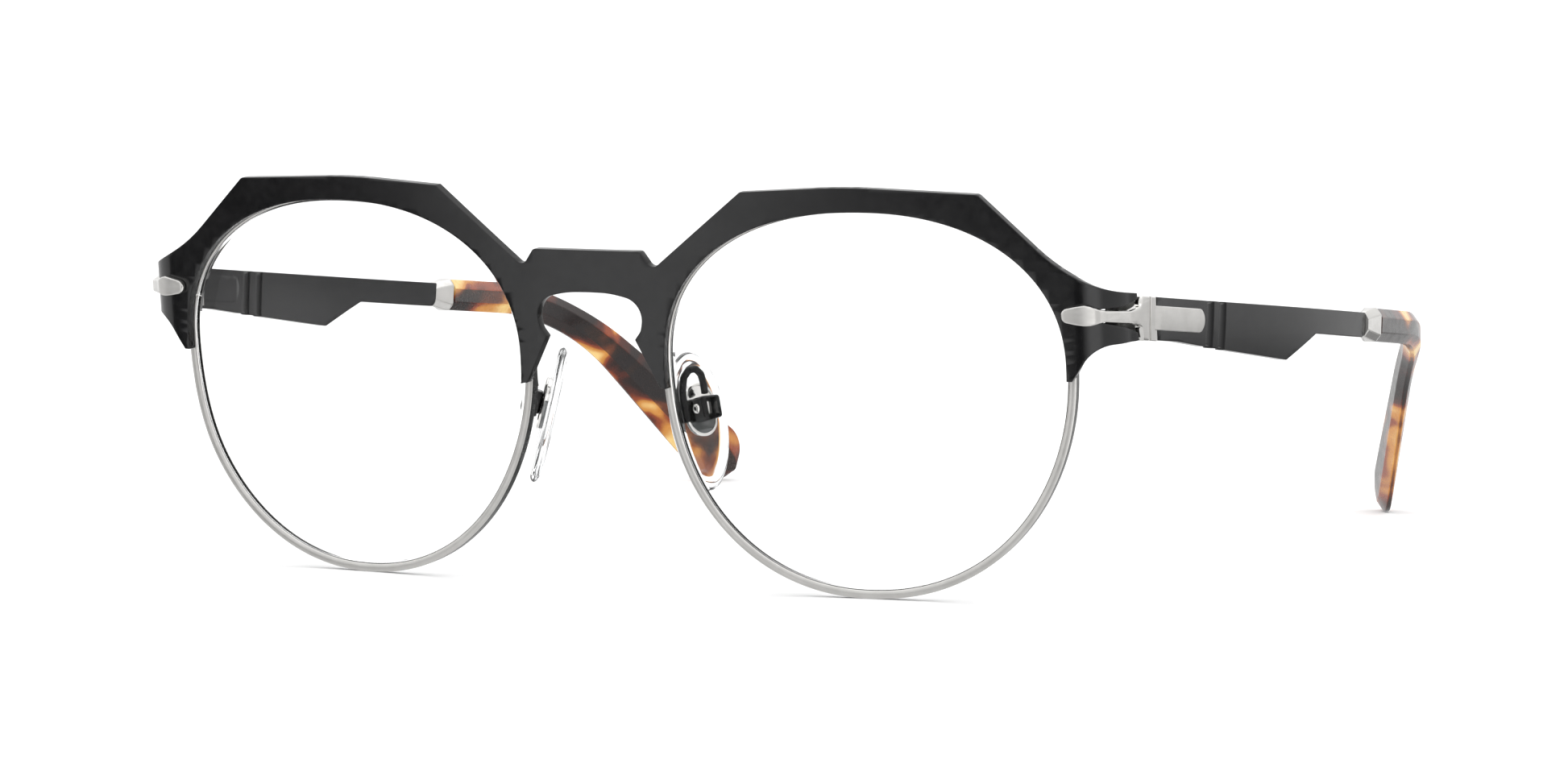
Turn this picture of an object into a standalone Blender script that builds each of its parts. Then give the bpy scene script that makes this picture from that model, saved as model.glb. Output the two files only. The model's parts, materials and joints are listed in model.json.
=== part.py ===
"""Browline eyeglasses with thin metal rims, open temples and adjustable nose pads.

Front frame, before the glasses are stood on a table: X to the wearer's left, Y from the
front plate towards the ears, Z up, with the origin on the face of the bridge. Everything is
built there for the wearer's left side, mirrored for the right, and tilted at the end, so
that the rims and the temple tips rest on z = 0.
"""

import math

import bmesh
import bpy
from mathutils import Matrix, Vector

MM = 0.001
GAP = 0.3 * MM

# Front plate: a bowed sheet whose ends bend back into end-pieces.
PLATE_THICKNESS = 1.3 * MM
BOW_2 = 2.04
BOW_4 = -140.2
BEND_START = 63.0 * MM
BEND_RADIUS = 5.9 * MM
PLATE_END = 72.0 * MM
LIP = 0.5 * MM
LIP_LENGTH = 1.3 * MM
BRIDGE_TOP = 4.45 * MM
SHEET_STEP = 4.5 * MM
BEND_STEP = 1.0 * MM

# Lens outline: two halves of a superellipse that share one width.
LENS_CENTRE_X = 35.9 * MM
LENS_CENTRE_Z = -9.6 * MM
LENS_HALF_WIDTH = 25.6 * MM
LENS_RISE = 19.0 * MM
LENS_DROP = 28.0 * MM
UPPER_POWER = 2.22
LOWER_POWER = 2.12
PLATE_REVEAL = 0.2 * MM
INNER_TIP_Z = -12.65 * MM
OUTER_TIP_Z = -11.05 * MM

# Rim wire, its lens groove, and the closing block that clamps it.
RIM_FRONT = PLATE_THICKNESS + 0.1 * MM
RIM_LEAN = 0.5 * MM
RIM_WIDTH = 1.1 * MM
RIM_DEPTH = 1.3 * MM
GROOVE_DEPTH = 0.45 * MM
GROOVE_WIDTH = 0.9 * MM
RIM_SEGMENTS = 92
RIM_SPLIT_Z = -4.1 * MM
RIM_SPLIT = 0.5 * MM
LOCK_SIZE = (1.6 * MM, 3.0 * MM, 2.0 * MM)
LOCK_SCREW_RADIUS = 0.3 * MM

# Lens.
LENS_THICKNESS = 1.5 * MM
LENS_BULGE = 1.5 * MM
LENS_SEGMENTS = 48

# Strap that dresses the end-piece and carries the front half of the hinge block.
STRAP_START = 61.5 * MM
STRAP_Z = -2.79 * MM
STRAP_LEVEL_END = 64.3 * MM
STRAP_FALL = -0.133
STRAP_HALF_WIDTHS = (
    (62.4, 0.95),
    (63.4, 1.16),
    (64.3, 1.3),
    (64.9, 1.22),
    (65.4, 1.02),
    (65.9, 0.84),
    (66.5, 0.67),
    (69.7, 0.76),
    (71.6, 1.2),
)
STRAP_PROUD = 0.85 * MM
STRAP_FACE = 69.7 * MM

# Hinge.
HINGE_X = 65.6 * MM
HINGE_Y = 14.85 * MM
HINGE_Z = -4.6 * MM
HINGE_TILT = math.radians(6.0)
SEAM = 0.15 * MM
BLOCK_HALF_HEIGHT = 2.7 * MM
BLOCK_FRONT_Y = 12.35 * MM
BLOCK_BACK_Y = 16.9 * MM
BLOCK_OUTER_X = 69.25 * MM
BLOCK_INNER_X = 68.25 * MM
LEAF_OUTER_X = BLOCK_INNER_X - GAP
KNUCKLE_REACH = 2.3 * MM
BARREL_RADIUS = 1.2 * MM
BARREL_BORE = 0.8 * MM
HINGE_PIN_RADIUS = 0.5 * MM

# Temple, in its own plane: u runs back along the temple from the hinge seam, v is up.
TEMPLE_SLOPE = math.radians(11.35)
TEMPLE_THICKNESS = 1.3 * MM
TEMPLE_SPREAD = 2.0 * MM
TEMPLE_WAVE = 100 * MM
ARM_END = 71.7 * MM
GROOVES = (18.1 * MM, 21.7 * MM)
GROOVE_HALF = 1.05 * MM
FLEX_DEPTH = 0.32 * MM
PLAQUE_END = 16.0 * MM
PLAQUE_V = 0.15 * MM
PLAQUE_HALF_HEIGHT = 1.5 * MM
PLAQUE_PROUD = 0.25 * MM
PLAQUE_INSET = 0.35 * MM

# Ferrule, core wire and acetate tip, along the tip's own centreline.
TIP_START = 75.9 * MM
TIP_V = 1.22 * MM
TIP_OUTWARD = 0.28 * MM
FERRULE_STATIONS = (
    (-3.9, 3.0, 1.5),
    (-3.6, 3.6, 1.9),
    (-0.7, 4.5, 3.0),
    (-0.3, 4.2, 2.7),
)
CORE_RADIUS = 0.45 * MM
CORE_REACH = 11.0 * MM
TIP_LENGTH = 67.6 * MM
TIP_STATIONS = 28
TIP_END_RADIUS = 4.6 * MM
TIP_THICKNESS = (3.0 * MM, 2.1 * MM)
TIP_HEIGHT = (4.4 * MM, 9.2 * MM)
TIP_CHAMFER = 0.75 * MM
DROOP_START = 15.1 * MM
DROOP_RADIUS = 41.3 * MM
DROOP = math.radians(34.4)
INTURN_START = 10.2 * MM
INTURN_LENGTH = 24.4 * MM
INTURN = math.radians(30.1)

# Nose pad, its metal insert, and the box and arm that hold it.
PAD_CENTRE = Vector((10.6, 7.9, -18.2)) * MM
PAD_UP = Vector((-0.22, 0.174, 0.962)).normalized()
PAD_BACK = Vector((0.485, 0.873, -0.052)).normalized()
PAD_LENGTH = 17.6 * MM
PAD_WIDTH = 8.4 * MM
PAD_THICKNESS = 1.6 * MM
PAD_SEGMENTS = 32
INSERT_SIZE = (4.3 * MM, 6.6 * MM, 0.6 * MM)
INSERT_UP = 1.35 * MM
BOX_OUT = 2.5 * MM
BOX_SIZE = (2.8 * MM, 2.5 * MM, 2.9 * MM)
LUG_THICKNESS = 1.0 * MM
PAD_SCREW_RADIUS = 0.32 * MM
ARM_WIRE_RADIUS = 0.46 * MM
ARM_ROUTE = (
    (10.95, 4.25, -17.6),
    (10.6, 4.2, -15.6),
    (10.45, 4.25, -13.6),
    (10.6, 4.55, -12.0),
    (11.05, 5.1, -11.15),
    (11.6, 5.85, -11.1),
    (11.95, 6.6, -11.9),
    (12.0, 7.1, -13.2),
    (12.02, 7.3, -14.4),
)

SATIN_BLACK = ("satin_black", (0.02, 0.02, 0.021), 0.38, 0.3)
NICKEL = ("satin_nickel", (0.6, 0.58, 0.55), 0.3, 1.0)
STEEL = ("steel", (0.5, 0.5, 0.5), 0.35, 1.0)
CLEAR = ("clear_silicone", (0.85, 0.87, 0.88), 0.1, 0.0)
LENS_CLEAR = ("lens_clear", (0.9, 0.93, 0.94), 0.03, 0.0)
HAVANA = ("havana_acetate", (0.16, 0.06, 0.02), 0.15, 0.0)


# ---------------------------------------------------------------- scene and mesh helpers


def clear_scene():
    for obj in list(bpy.data.objects):
        bpy.data.objects.remove(obj)


def new_collection(name):
    collection = bpy.data.collections.new(name)
    bpy.context.scene.collection.children.link(collection)
    return collection


def material(look):
    name, colour, roughness, metallic = look
    found = bpy.data.materials.get(name)
    if found:
        return found
    made = bpy.data.materials.new(name)
    made.use_nodes = True
    shader = made.node_tree.nodes["Principled BSDF"]
    shader.inputs["Base Color"].default_value = (*colour, 1.0)
    shader.inputs["Roughness"].default_value = roughness
    shader.inputs["Metallic"].default_value = metallic
    return made


def mesh_from(bm):
    """A finished mesh from bm: welded, facing out, smooth with sharp edges kept."""
    bmesh.ops.remove_doubles(bm, verts=bm.verts, dist=0.005 * MM)
    bmesh.ops.recalc_face_normals(bm, faces=bm.faces)
    mesh = bpy.data.meshes.new("shape")
    bm.to_mesh(mesh)
    bm.free()
    mesh.shade_smooth()
    mesh.set_sharp_from_angle(angle=math.radians(35))
    return mesh


def evaluated_mesh(obj):
    graph = bpy.context.evaluated_depsgraph_get()
    graph.update()
    return bpy.data.meshes.new_from_object(obj.evaluated_get(graph))


def skin(rows, closed=False):
    """A bmesh through rows of points, each row a loop. Open ends are capped."""
    bm = bmesh.new()
    loops = [[bm.verts.new(point) for point in row] for row in rows]
    pairs = list(zip(loops, loops[1:] + loops[:1])) if closed else list(zip(loops, loops[1:]))
    for first, second in pairs:
        for i, vert in enumerate(first):
            j = (i + 1) % len(first)
            bm.faces.new((vert, first[j], second[j], second[i]))
    if not closed:
        bm.faces.new(loops[0][::-1])
        bm.faces.new(loops[-1])
    return bm


def filled_sheet(outline, cuts, place):
    """A sheet one unit thick over a flat outline, cut into strips and placed point by point.

    outline is a list of (a, b); cuts are values of a; place maps (a, b, depth 0..1) to a
    point in the front frame.
    """
    curve = bpy.data.curves.new("outline", "CURVE")
    curve.dimensions = "2D"
    curve.fill_mode = "BOTH"
    curve.extrude = 0.5
    spline = curve.splines.new("POLY")
    spline.points.add(len(outline) - 1)
    for point, (a, b) in zip(spline.points, outline):
        point.co = (a / MM, b / MM, 0.0, 1.0)
    spline.use_cyclic_u = True
    flat = bpy.data.objects.new("outline", curve)
    bpy.context.scene.collection.objects.link(flat)
    bm = bmesh.new()
    bm.from_mesh(evaluated_mesh(flat))
    bpy.data.objects.remove(flat)
    bmesh.ops.remove_doubles(bm, verts=bm.verts, dist=0.0001)
    for cut in cuts:
        geometry = bm.verts[:] + bm.edges[:] + bm.faces[:]
        bmesh.ops.bisect_plane(
            bm, geom=geometry, dist=0.00001, plane_co=(cut / MM, 0, 0), plane_no=(1, 0, 0)
        )
    bmesh.ops.triangulate(bm, faces=bm.faces)
    for vert in bm.verts:
        a, b, depth = vert.co
        vert.co = place(a * MM, b * MM, depth + 0.5)
    return bm


def box(size, centre=(0, 0, 0), bevel=0.0):
    """A cuboid, with all of its edges chamfered by bevel if it is given."""
    bm = bmesh.new()
    bmesh.ops.create_cube(bm, size=1.0)
    bmesh.ops.scale(bm, vec=size, verts=bm.verts)
    if bevel:
        bmesh.ops.bevel(bm, geom=bm.edges[:], offset=bevel, segments=1, affect="EDGES")
    bmesh.ops.translate(bm, vec=centre, verts=bm.verts)
    return bm


def cylinder(start, end, radius, sides=16):
    start, end = Vector(start), Vector(end)
    along = end - start
    bm = bmesh.new()
    bmesh.ops.create_cone(
        bm, cap_ends=True, segments=sides, radius1=radius, radius2=radius, depth=along.length
    )
    turn = along.to_track_quat("Z", "Y").to_matrix().to_4x4()
    bmesh.ops.transform(bm, matrix=Matrix.Translation((start + end) / 2) @ turn, verts=bm.verts)
    return bm


def combined(base, *steps):
    """base as a mesh, after each (operation, bmesh) step of steps."""
    result = mesh_from(base)
    for operation, other in steps:
        holder = bpy.data.objects.new("base", result)
        tool = bpy.data.objects.new("tool", mesh_from(other))
        for obj in (holder, tool):
            CUTTERS.objects.link(obj)
        modifier = holder.modifiers.new("step", "BOOLEAN")
        modifier.operation = operation
        modifier.object = tool
        result = evaluated_mesh(holder)
        bpy.data.objects.remove(holder)
        bpy.data.objects.remove(tool)
    bm = bmesh.new()
    bm.from_mesh(result)
    return mesh_from(bm)


def add_part(name, mesh, look, side=1, pivot=None):
    """One named sub-part. side -1 mirrors it; pivot is the empty on its joint's axis."""
    mesh = mesh.copy()
    if side < 0:
        mesh.transform(Matrix.Scale(-1, 4, (1, 0, 0)))
        mesh.flip_normals()
    if pivot:
        mesh.transform(Matrix.Translation(-pivot.location))
    mesh.name = name
    mesh.materials.clear()
    mesh.materials.append(material(look))
    obj = bpy.data.objects.new(name, mesh)
    obj.parent = pivot or ROOT
    GLASSES.objects.link(obj)
    return obj


def add_pivot(name, place, side):
    pivot = bpy.data.objects.new(name, None)
    pivot.empty_display_size = 5 * MM
    pivot.location = (side * place[0], place[1], place[2])
    pivot.parent = ROOT
    GLASSES.objects.link(pivot)
    return pivot


# ---------------------------------------------------------------- outlines and curves


def arc_corner(before, corner, after, radius, steps=6):
    """Points of the fillet of this radius at a corner between two straight edges."""
    corner = Vector(corner)
    to_before = (Vector(before) - corner).normalized()
    to_after = (Vector(after) - corner).normalized()
    half = to_before.angle(to_after) / 2
    reach = radius / math.tan(half)
    middle = corner + (to_before + to_after).normalized() * radius / math.sin(half)
    start = corner + to_before * reach - middle
    sweep = (corner + to_after * reach - middle).angle_signed(start)
    return [middle + Matrix.Rotation(sweep * k / steps, 2) @ start for k in range(steps + 1)]


def rounded(corners):
    """A polyline through (x, z, radius) corners in millimetres. Radius 0 is a sharp corner."""
    points = []
    for i, (x, z, radius) in enumerate(corners):
        if radius and 0 < i < len(corners) - 1:
            before, after = corners[i - 1][:2], corners[i + 1][:2]
            points += [(p.x * MM, p.y * MM) for p in arc_corner(before, (x, z), after, radius)]
        else:
            points.append((x * MM, z * MM))
    return points


def lens_point(angle, offset=0.0):
    """Point of the lens outline at this angle, and offset outwards from it along its normal."""
    c, s = math.cos(angle), math.sin(angle)
    power = UPPER_POWER if s > 0 else LOWER_POWER
    height = LENS_RISE if s > 0 else LENS_DROP
    x = math.copysign(abs(c) ** (2 / power), c)
    z = math.copysign(abs(s) ** (2 / power), s)
    normal_x = math.copysign(abs(x) ** (power - 1), x) / LENS_HALF_WIDTH
    normal_z = math.copysign(abs(z) ** (power - 1), z) / height
    length = math.hypot(normal_x, normal_z)
    return (
        LENS_CENTRE_X + LENS_HALF_WIDTH * x + offset * normal_x / length,
        LENS_CENTRE_Z + height * z + offset * normal_z / length,
    )


def lens_angle(z, offset, temporal):
    """Angle at which the outline, offset outwards, reaches height z on the given side."""
    low, high = (-1.4, 1.4)
    for _ in range(40):
        middle = (low + high) / 2
        if lens_point(middle, offset)[1] < z:
            low = middle
        else:
            high = middle
    return low if temporal else math.pi - low


def lens_arch(count):
    """Plate edge over the lens, from the nasal tip to the temporal one."""
    first = lens_angle(INNER_TIP_Z, PLATE_REVEAL, temporal=False)
    last = lens_angle(OUTER_TIP_Z, PLATE_REVEAL, temporal=True)
    angles = [first + (last - first) * k / count for k in range(count + 1)]
    return [lens_point(angle, PLATE_REVEAL) for angle in angles]


def bow(x):
    """How far the front's face lies behind the bridge at this distance from the middle."""
    return BOW_2 * x**2 + BOW_4 * x**4


def face_slope(x):
    """Angle between the front's face and the X axis at this distance from the middle."""
    return math.atan(2 * BOW_2 * x + 4 * BOW_4 * x**3)


def bend_angles():
    slope = face_slope(BEND_START)
    return slope, math.pi / 2 - slope


def wrapped_length(y):
    """Distance along the front's face of a point y behind the bridge, past the bend."""
    slope, full_turn = bend_angles()
    bend_end = bow(BEND_START) + BEND_RADIUS * math.cos(slope)
    return BEND_START + BEND_RADIUS * full_turn + y - bend_end


def wrap(s, z, depth):
    """Point at distance s along the front's face, height z, and depth behind the face."""
    out = math.copysign(1.0, s)
    s = abs(s)
    if s <= BEND_START:
        slope = face_slope(s)
        return Vector((out * (s - depth * math.sin(slope)), bow(s) + depth * math.cos(slope), z))
    slope, full_turn = bend_angles()
    heading = slope + min((s - BEND_START) / BEND_RADIUS, full_turn)
    radius = BEND_RADIUS - depth
    x = BEND_START - BEND_RADIUS * math.sin(slope) + radius * math.sin(heading)
    y = bow(BEND_START) + BEND_RADIUS * math.cos(slope) - radius * math.cos(heading)
    y += max(0.0, s - BEND_START - BEND_RADIUS * full_turn)
    return Vector((out * x, y, z))


def ramp(value, start, end):
    """0 before start, 1 after end, and a smooth step between them."""
    share = min(max((value - start) / (end - start), 0.0), 1.0)
    return share * share * (3 - 2 * share)


def strips(start, end, step):
    count = round((end - start) / step)
    return [start + (end - start) * k / count for k in range(count + 1)]


def strap_z(s):
    return STRAP_Z + STRAP_FALL * max(0.0, s - STRAP_LEVEL_END)


def block_z(y, half):
    """Height at y of the line half above the temple's middle line, and along it."""
    return HINGE_Z + half / math.cos(TEMPLE_SLOPE) - (y - HINGE_Y) * math.tan(TEMPLE_SLOPE)


def seam_point(half, side):
    """(y, z) where the seam's front (-1) or rear (1) face meets the line half above it."""
    tilt, slope = math.tan(HINGE_TILT), math.tan(TEMPLE_SLOPE)
    rise = half / math.cos(TEMPLE_SLOPE) - side * SEAM * slope
    z = rise / (1 + tilt * slope)
    return HINGE_Y + side * SEAM + z * tilt, HINGE_Z + z


# ---------------------------------------------------------------- front


def slot_edge(above):
    """One edge of the plate's strap slot, from its closed end back to the plate's end."""
    reach = [(65.6, 1.12), (66.3, 1.15), (69.7, 1.3), (71.0, 1.6), (PLATE_END / MM, 2.1)]
    sign = 1 if above else -1
    return [(s * MM, strap_z(s * MM) + sign * half * MM) for s, half in reach]


def half_plate_outline():
    end = PLATE_END / MM
    top = rounded(
        [
            (0.0, BRIDGE_TOP / MM, 0),
            (7.45, BRIDGE_TOP / MM, 0.6),
            (9.05, 2.2, 0.9),
            (21.2, 12.05, 0.3),
            (34.5, 12.75, 75),
            (51.5, 11.85, 0.8),
            (63.1, 0.8, 22),
            (end, -1.0, 0),
        ]
    )
    under = rounded([(end, -6.85, 0), (65.4, -6.7, 4.6), (62.35, -11.05, 0)])
    inner_leg = rounded(
        [
            (10.35, -12.65, 0),
            (9.35, -12.65, 0.2),
            (6.2, -6.65, 0.15),
            (7.05, -5.55, 1.6),
            (7.75, -2.0, 2.8),
            (3.0, -0.9, 14),
            (0.0, -0.85, 0),
        ]
    )
    slot = slot_edge(True)[::-1] + slot_edge(False)
    return top + slot + under + lens_arch(36)[::-1] + inner_leg


def front_plate():
    half = half_plate_outline()
    outline = half + [(-x, z) for x, z in half[-2:0:-1]]
    side_cuts = strips(SHEET_STEP, BEND_START, SHEET_STEP) + strips(
        BEND_START + BEND_STEP, BEND_START + BEND_RADIUS * 1.45, BEND_STEP
    )
    cuts = [0.0] + side_cuts + [-cut for cut in side_cuts]

    def place(s, z, depth):
        flare = LIP * ramp(abs(s), PLATE_END - LIP_LENGTH, PLATE_END)
        return wrap(s, z, depth * PLATE_THICKNESS - flare)

    return mesh_from(filled_sheet(outline, cuts, place))


def rim_lean(z):
    """How far the rim and lens come forward at height z, below the plate's tips."""
    return RIM_LEAN * ramp(-z, 12 * MM, 26 * MM)


def rim_profile():
    """(offset out from the lens outline, depth) corners of the rim's section."""
    back = RIM_FRONT + RIM_DEPTH
    groove_front = RIM_FRONT + (RIM_DEPTH - GROOVE_WIDTH) / 2
    groove_back = groove_front + GROOVE_WIDTH
    return [
        (0.0, RIM_FRONT),
        (RIM_WIDTH, RIM_FRONT),
        (RIM_WIDTH, back),
        (0.0, back),
        (0.0, groove_back),
        (GROOVE_DEPTH, (groove_front + groove_back) / 2),
        (0.0, groove_front),
    ]


def rim():
    """The rim wire, open by a small split on its temporal side."""
    half_split = RIM_SPLIT / 2 / LENS_HALF_WIDTH
    split = lens_angle(RIM_SPLIT_Z, RIM_WIDTH / 2, temporal=True)
    first, last = split + half_split, split + 2 * math.pi - half_split
    rows = []
    for k in range(RIM_SEGMENTS + 1):
        angle = first + (last - first) * k / RIM_SEGMENTS
        row = []
        for offset, depth in rim_profile():
            x, z = lens_point(angle, offset)
            row.append(wrap(x, z, depth - rim_lean(z)))
        rows.append(row)
    return mesh_from(skin(rows))


def lens():
    """A disc bowed with the front, domed forwards, with a bevelled edge in the rim's groove."""
    middle = RIM_FRONT + RIM_DEPTH / 2
    edge = GROOVE_DEPTH - GAP
    face = -GAP
    half = LENS_THICKNESS / 2
    rings = [(0.12, face, -half), (0.5, face, -half), (0.8, face, -half), (1.0, face, -half)]
    rings += [(1.0, edge, 0.0)]
    rings += [(share, offset, half) for share, offset, _ in rings[3::-1]]
    rows = []
    for share, offset, depth in rings:
        row = []
        for k in range(LENS_SEGMENTS):
            x, z = lens_point(2 * math.pi * k / LENS_SEGMENTS, offset)
            x = LENS_CENTRE_X + (x - LENS_CENTRE_X) * share
            z = LENS_CENTRE_Z + (z - LENS_CENTRE_Z) * share
            row.append(wrap(x, z, middle + depth - LENS_BULGE * (1 - share**2) - rim_lean(z)))
        rows.append(row)
    return mesh_from(skin(rows))


def lock_centre(sign):
    """Centre of the closing block above (1) or below (-1) the rim's split."""
    x = LENS_CENTRE_X + LENS_HALF_WIDTH + RIM_WIDTH
    return Vector(
        (
            x + GAP + LOCK_SIZE[0] / 2,
            bow(x) + RIM_FRONT + 0.7 * MM + LOCK_SIZE[1] / 2,
            RIM_SPLIT_Z + sign * (GAP + LOCK_SIZE[2]) / 2,
        )
    )


def lock_screw_line():
    return lock_centre(1) + Vector((0, 0.5 * MM, 0))


def rim_lock(sign):
    centre = lock_centre(sign)
    line = lock_screw_line()
    reach = Vector((0, 0, LOCK_SIZE[2]))
    bore = cylinder(
        Vector((line.x, line.y, centre.z)) - reach,
        Vector((line.x, line.y, centre.z)) + reach,
        LOCK_SCREW_RADIUS + 0.2 * MM,
        12,
    )
    return combined(box(LOCK_SIZE, centre, 0.15 * MM), ("DIFFERENCE", bore))


def rim_lock_screw():
    line = lock_screw_line()
    top = lock_centre(1).z + LOCK_SIZE[2] / 2 + GAP
    bottom = lock_centre(-1).z - LOCK_SIZE[2] / 2
    head_top = Vector((line.x, line.y, top + 0.5 * MM))
    head_base = Vector((line.x, line.y, top))
    shank_end = Vector((line.x, line.y, bottom))
    shank = cylinder(head_base + Vector((0, 0, 0.1 * MM)), shank_end, LOCK_SCREW_RADIUS, 12)
    return combined(cylinder(head_base, head_top, 0.7 * MM, 16), ("UNION", shank))


# ---------------------------------------------------------------- strap and hinge


def strap_outline():
    """Tapered tongue, waist, and the upright bar that forms the front half of the block."""
    upper = [(s * MM, strap_z(s * MM) + half * MM) for s, half in STRAP_HALF_WIDTHS]
    lower = [(s * MM, strap_z(s * MM) - half * MM) for s, half in STRAP_HALF_WIDTHS]
    start = wrapped_length(BLOCK_FRONT_Y)
    bar = [(start, block_z(BLOCK_FRONT_Y, BLOCK_HALF_HEIGHT))]
    for half in (BLOCK_HALF_HEIGHT, -BLOCK_HALF_HEIGHT):
        y, z = seam_point(half, -1)
        bar.append((wrapped_length(y), z))
    bar.append((start, block_z(BLOCK_FRONT_Y, -BLOCK_HALF_HEIGHT)))
    foot = [(start, strap_z(start) + 1.45 * MM)]
    heel = [(start, strap_z(start) - 1.45 * MM)]
    tip_radius = STRAP_HALF_WIDTHS[0][1] * MM
    centre = STRAP_START + tip_radius
    nose = []
    for k in range(1, 8):
        angle = math.pi * (1.5 - k / 8)
        x, z = tip_radius * math.cos(angle), tip_radius * math.sin(angle)
        nose.append((centre + x, STRAP_Z + z))
    return upper + foot + bar + heel + lower[::-1] + nose


def hinge_strap():
    """Tongue over the plate, dipping into the slot at its waist and ending in the bar."""
    flat = wrapped_length(BLOCK_FRONT_Y)
    straight = BLOCK_OUTER_X - wrap(flat, 0, 0).x
    thickness = BLOCK_OUTER_X - BLOCK_INNER_X

    def place(s, z, depth):
        dip = ramp(s, 65.3 * MM, 66.9 * MM)
        rise = min(max((s - 67.2 * MM) / (STRAP_FACE - 67.2 * MM), 0.0), 1.0) ** 2
        outer = -STRAP_PROUD + 0.6 * MM * dip - (straight - 0.25 * MM) * rise
        inner = -GAP + (0.85 * MM) * dip * (1 - rise) - (straight - thickness - GAP) * rise
        return wrap(s, z, outer + (inner - outer) * depth)

    cuts = strips(63.2 * MM, 71.6 * MM, 0.5 * MM)
    return mesh_from(filled_sheet(strap_outline(), cuts, place))


def knuckle_levels():
    """Heights along the hinge axis of the four ends of its three knuckles."""
    third = 2 * KNUCKLE_REACH / 3
    return [KNUCKLE_REACH - k * third for k in range(4)]


def hinge_axis(z):
    """Front-frame point on the hinge axis, at this height along it from its middle."""
    return Vector((HINGE_X, HINGE_Y + z * math.sin(HINGE_TILT), HINGE_Z + z * math.cos(HINGE_TILT)))


def hinge_box(low, high):
    """A cuboid between two corners (x, y, z) measured from the hinge axis, tilted with it."""
    low, high = Vector(low), Vector(high)
    bm = box(high - low, (low + high) / 2)
    turn = Matrix.Translation(hinge_axis(0)) @ Matrix.Rotation(-HINGE_TILT, 4, "X")
    bmesh.ops.transform(bm, matrix=turn, verts=bm.verts)
    return bm


def hinge_front_leaf():
    """Plate behind the strap's bar, a foot inside the end-piece, and two outer knuckles."""
    top, upper, lower, bottom = knuckle_levels()
    low, high = bottom + 0.1 * MM, top - 0.1 * MM
    plate = hinge_box((-0.6 * MM, -1.4 * MM, low), (LEAF_OUTER_X - HINGE_X, -SEAM, high))
    foot = hinge_box((-0.7 * MM, -4.0 * MM, low + 0.1 * MM), (MM, -0.9 * MM, high - 0.1 * MM))
    barrel = cylinder(hinge_axis(bottom), hinge_axis(top), BARREL_RADIUS, 22)
    room = cylinder(
        hinge_axis(lower - GAP / 2), hinge_axis(upper + GAP / 2), BARREL_RADIUS + GAP, 22
    )
    bore = cylinder(hinge_axis(bottom - MM), hinge_axis(top + MM), BARREL_BORE, 18)
    return combined(
        plate, ("UNION", foot), ("UNION", barrel), ("DIFFERENCE", room), ("DIFFERENCE", bore)
    )


def temple_x(u):
    """Outer face of the temple at distance u behind the hinge seam."""
    return BLOCK_OUTER_X + TEMPLE_SPREAD * math.sin(math.pi * u / TEMPLE_WAVE) ** 2


def temple_start(v):
    """Distance u at which the upright rear face of the block, and a gap, meet height v."""
    behind = BLOCK_BACK_Y + GAP - HINGE_Y
    return (behind - v * math.sin(TEMPLE_SLOPE)) / math.cos(TEMPLE_SLOPE)


def temple_point(x, u, v):
    """Front-frame point from a lateral position and the temple plane's u and v."""
    along, up = math.cos(TEMPLE_SLOPE), math.sin(TEMPLE_SLOPE)
    return Vector((x, HINGE_Y + u * along + v * up, HINGE_Z - u * up + v * along))


def plaque(grow, outer, inner):
    """The round-ended plaque along the temple, grown all round, between two depths."""
    half = PLAQUE_HALF_HEIGHT + grow
    centre = PLAQUE_END - PLAQUE_HALF_HEIGHT
    start = 1.6 * MM
    outline = [(start, PLAQUE_V + half)]
    for k in range(9):
        angle = math.pi * (0.5 - k / 8)
        outline.append((centre + half * math.cos(angle), PLAQUE_V + half * math.sin(angle)))
    outline.append((start, PLAQUE_V - half))

    def place(u, v, depth):
        return temple_point(temple_x(u) + outer + (inner - outer) * depth, u, v)

    return filled_sheet(outline, strips(3 * MM, 15 * MM, 2 * MM), place)


def hinge_temple_leaf():
    """Rear half of the block with its plaque, and the middle knuckle."""
    _, upper, lower, _ = knuckle_levels()
    inner = HINGE_X + BARREL_RADIUS + 0.35 * MM
    tall = BLOCK_HALF_HEIGHT
    outline = [seam_point(tall, 1), (BLOCK_BACK_Y, block_z(BLOCK_BACK_Y, tall))]
    outline += [(BLOCK_BACK_Y, block_z(BLOCK_BACK_Y, -tall)), seam_point(-tall, 1)]

    def place(y, z, depth):
        return Vector((BLOCK_OUTER_X + (inner - BLOCK_OUTER_X) * depth, y, z))

    low, high = lower + GAP / 2, upper - GAP / 2
    reach = inner - HINGE_X + 0.3 * MM
    arm = hinge_box((0.3 * MM, SEAM, low + 0.05 * MM), (reach, MM, high - 0.05 * MM))
    barrel = cylinder(hinge_axis(low), hinge_axis(high), BARREL_RADIUS, 22)
    bore = cylinder(hinge_axis(low - MM), hinge_axis(high + MM), BARREL_BORE, 18)
    return combined(
        filled_sheet(outline, [], place),
        ("UNION", plaque(0.0, PLAQUE_PROUD, -PLAQUE_INSET)),
        ("UNION", arm),
        ("UNION", barrel),
        ("DIFFERENCE", bore),
    )


def hinge_screw():
    top, _, _, bottom = knuckle_levels()
    head_base = top + 0.15 * MM
    shank = cylinder(hinge_axis(head_base + 0.1 * MM), hinge_axis(bottom), HINGE_PIN_RADIUS, 16)
    head = cylinder(hinge_axis(head_base), hinge_axis(head_base + 0.3 * MM), 0.95 * MM, 20)
    return combined(head, ("UNION", shank))


# ---------------------------------------------------------------- temple


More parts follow.
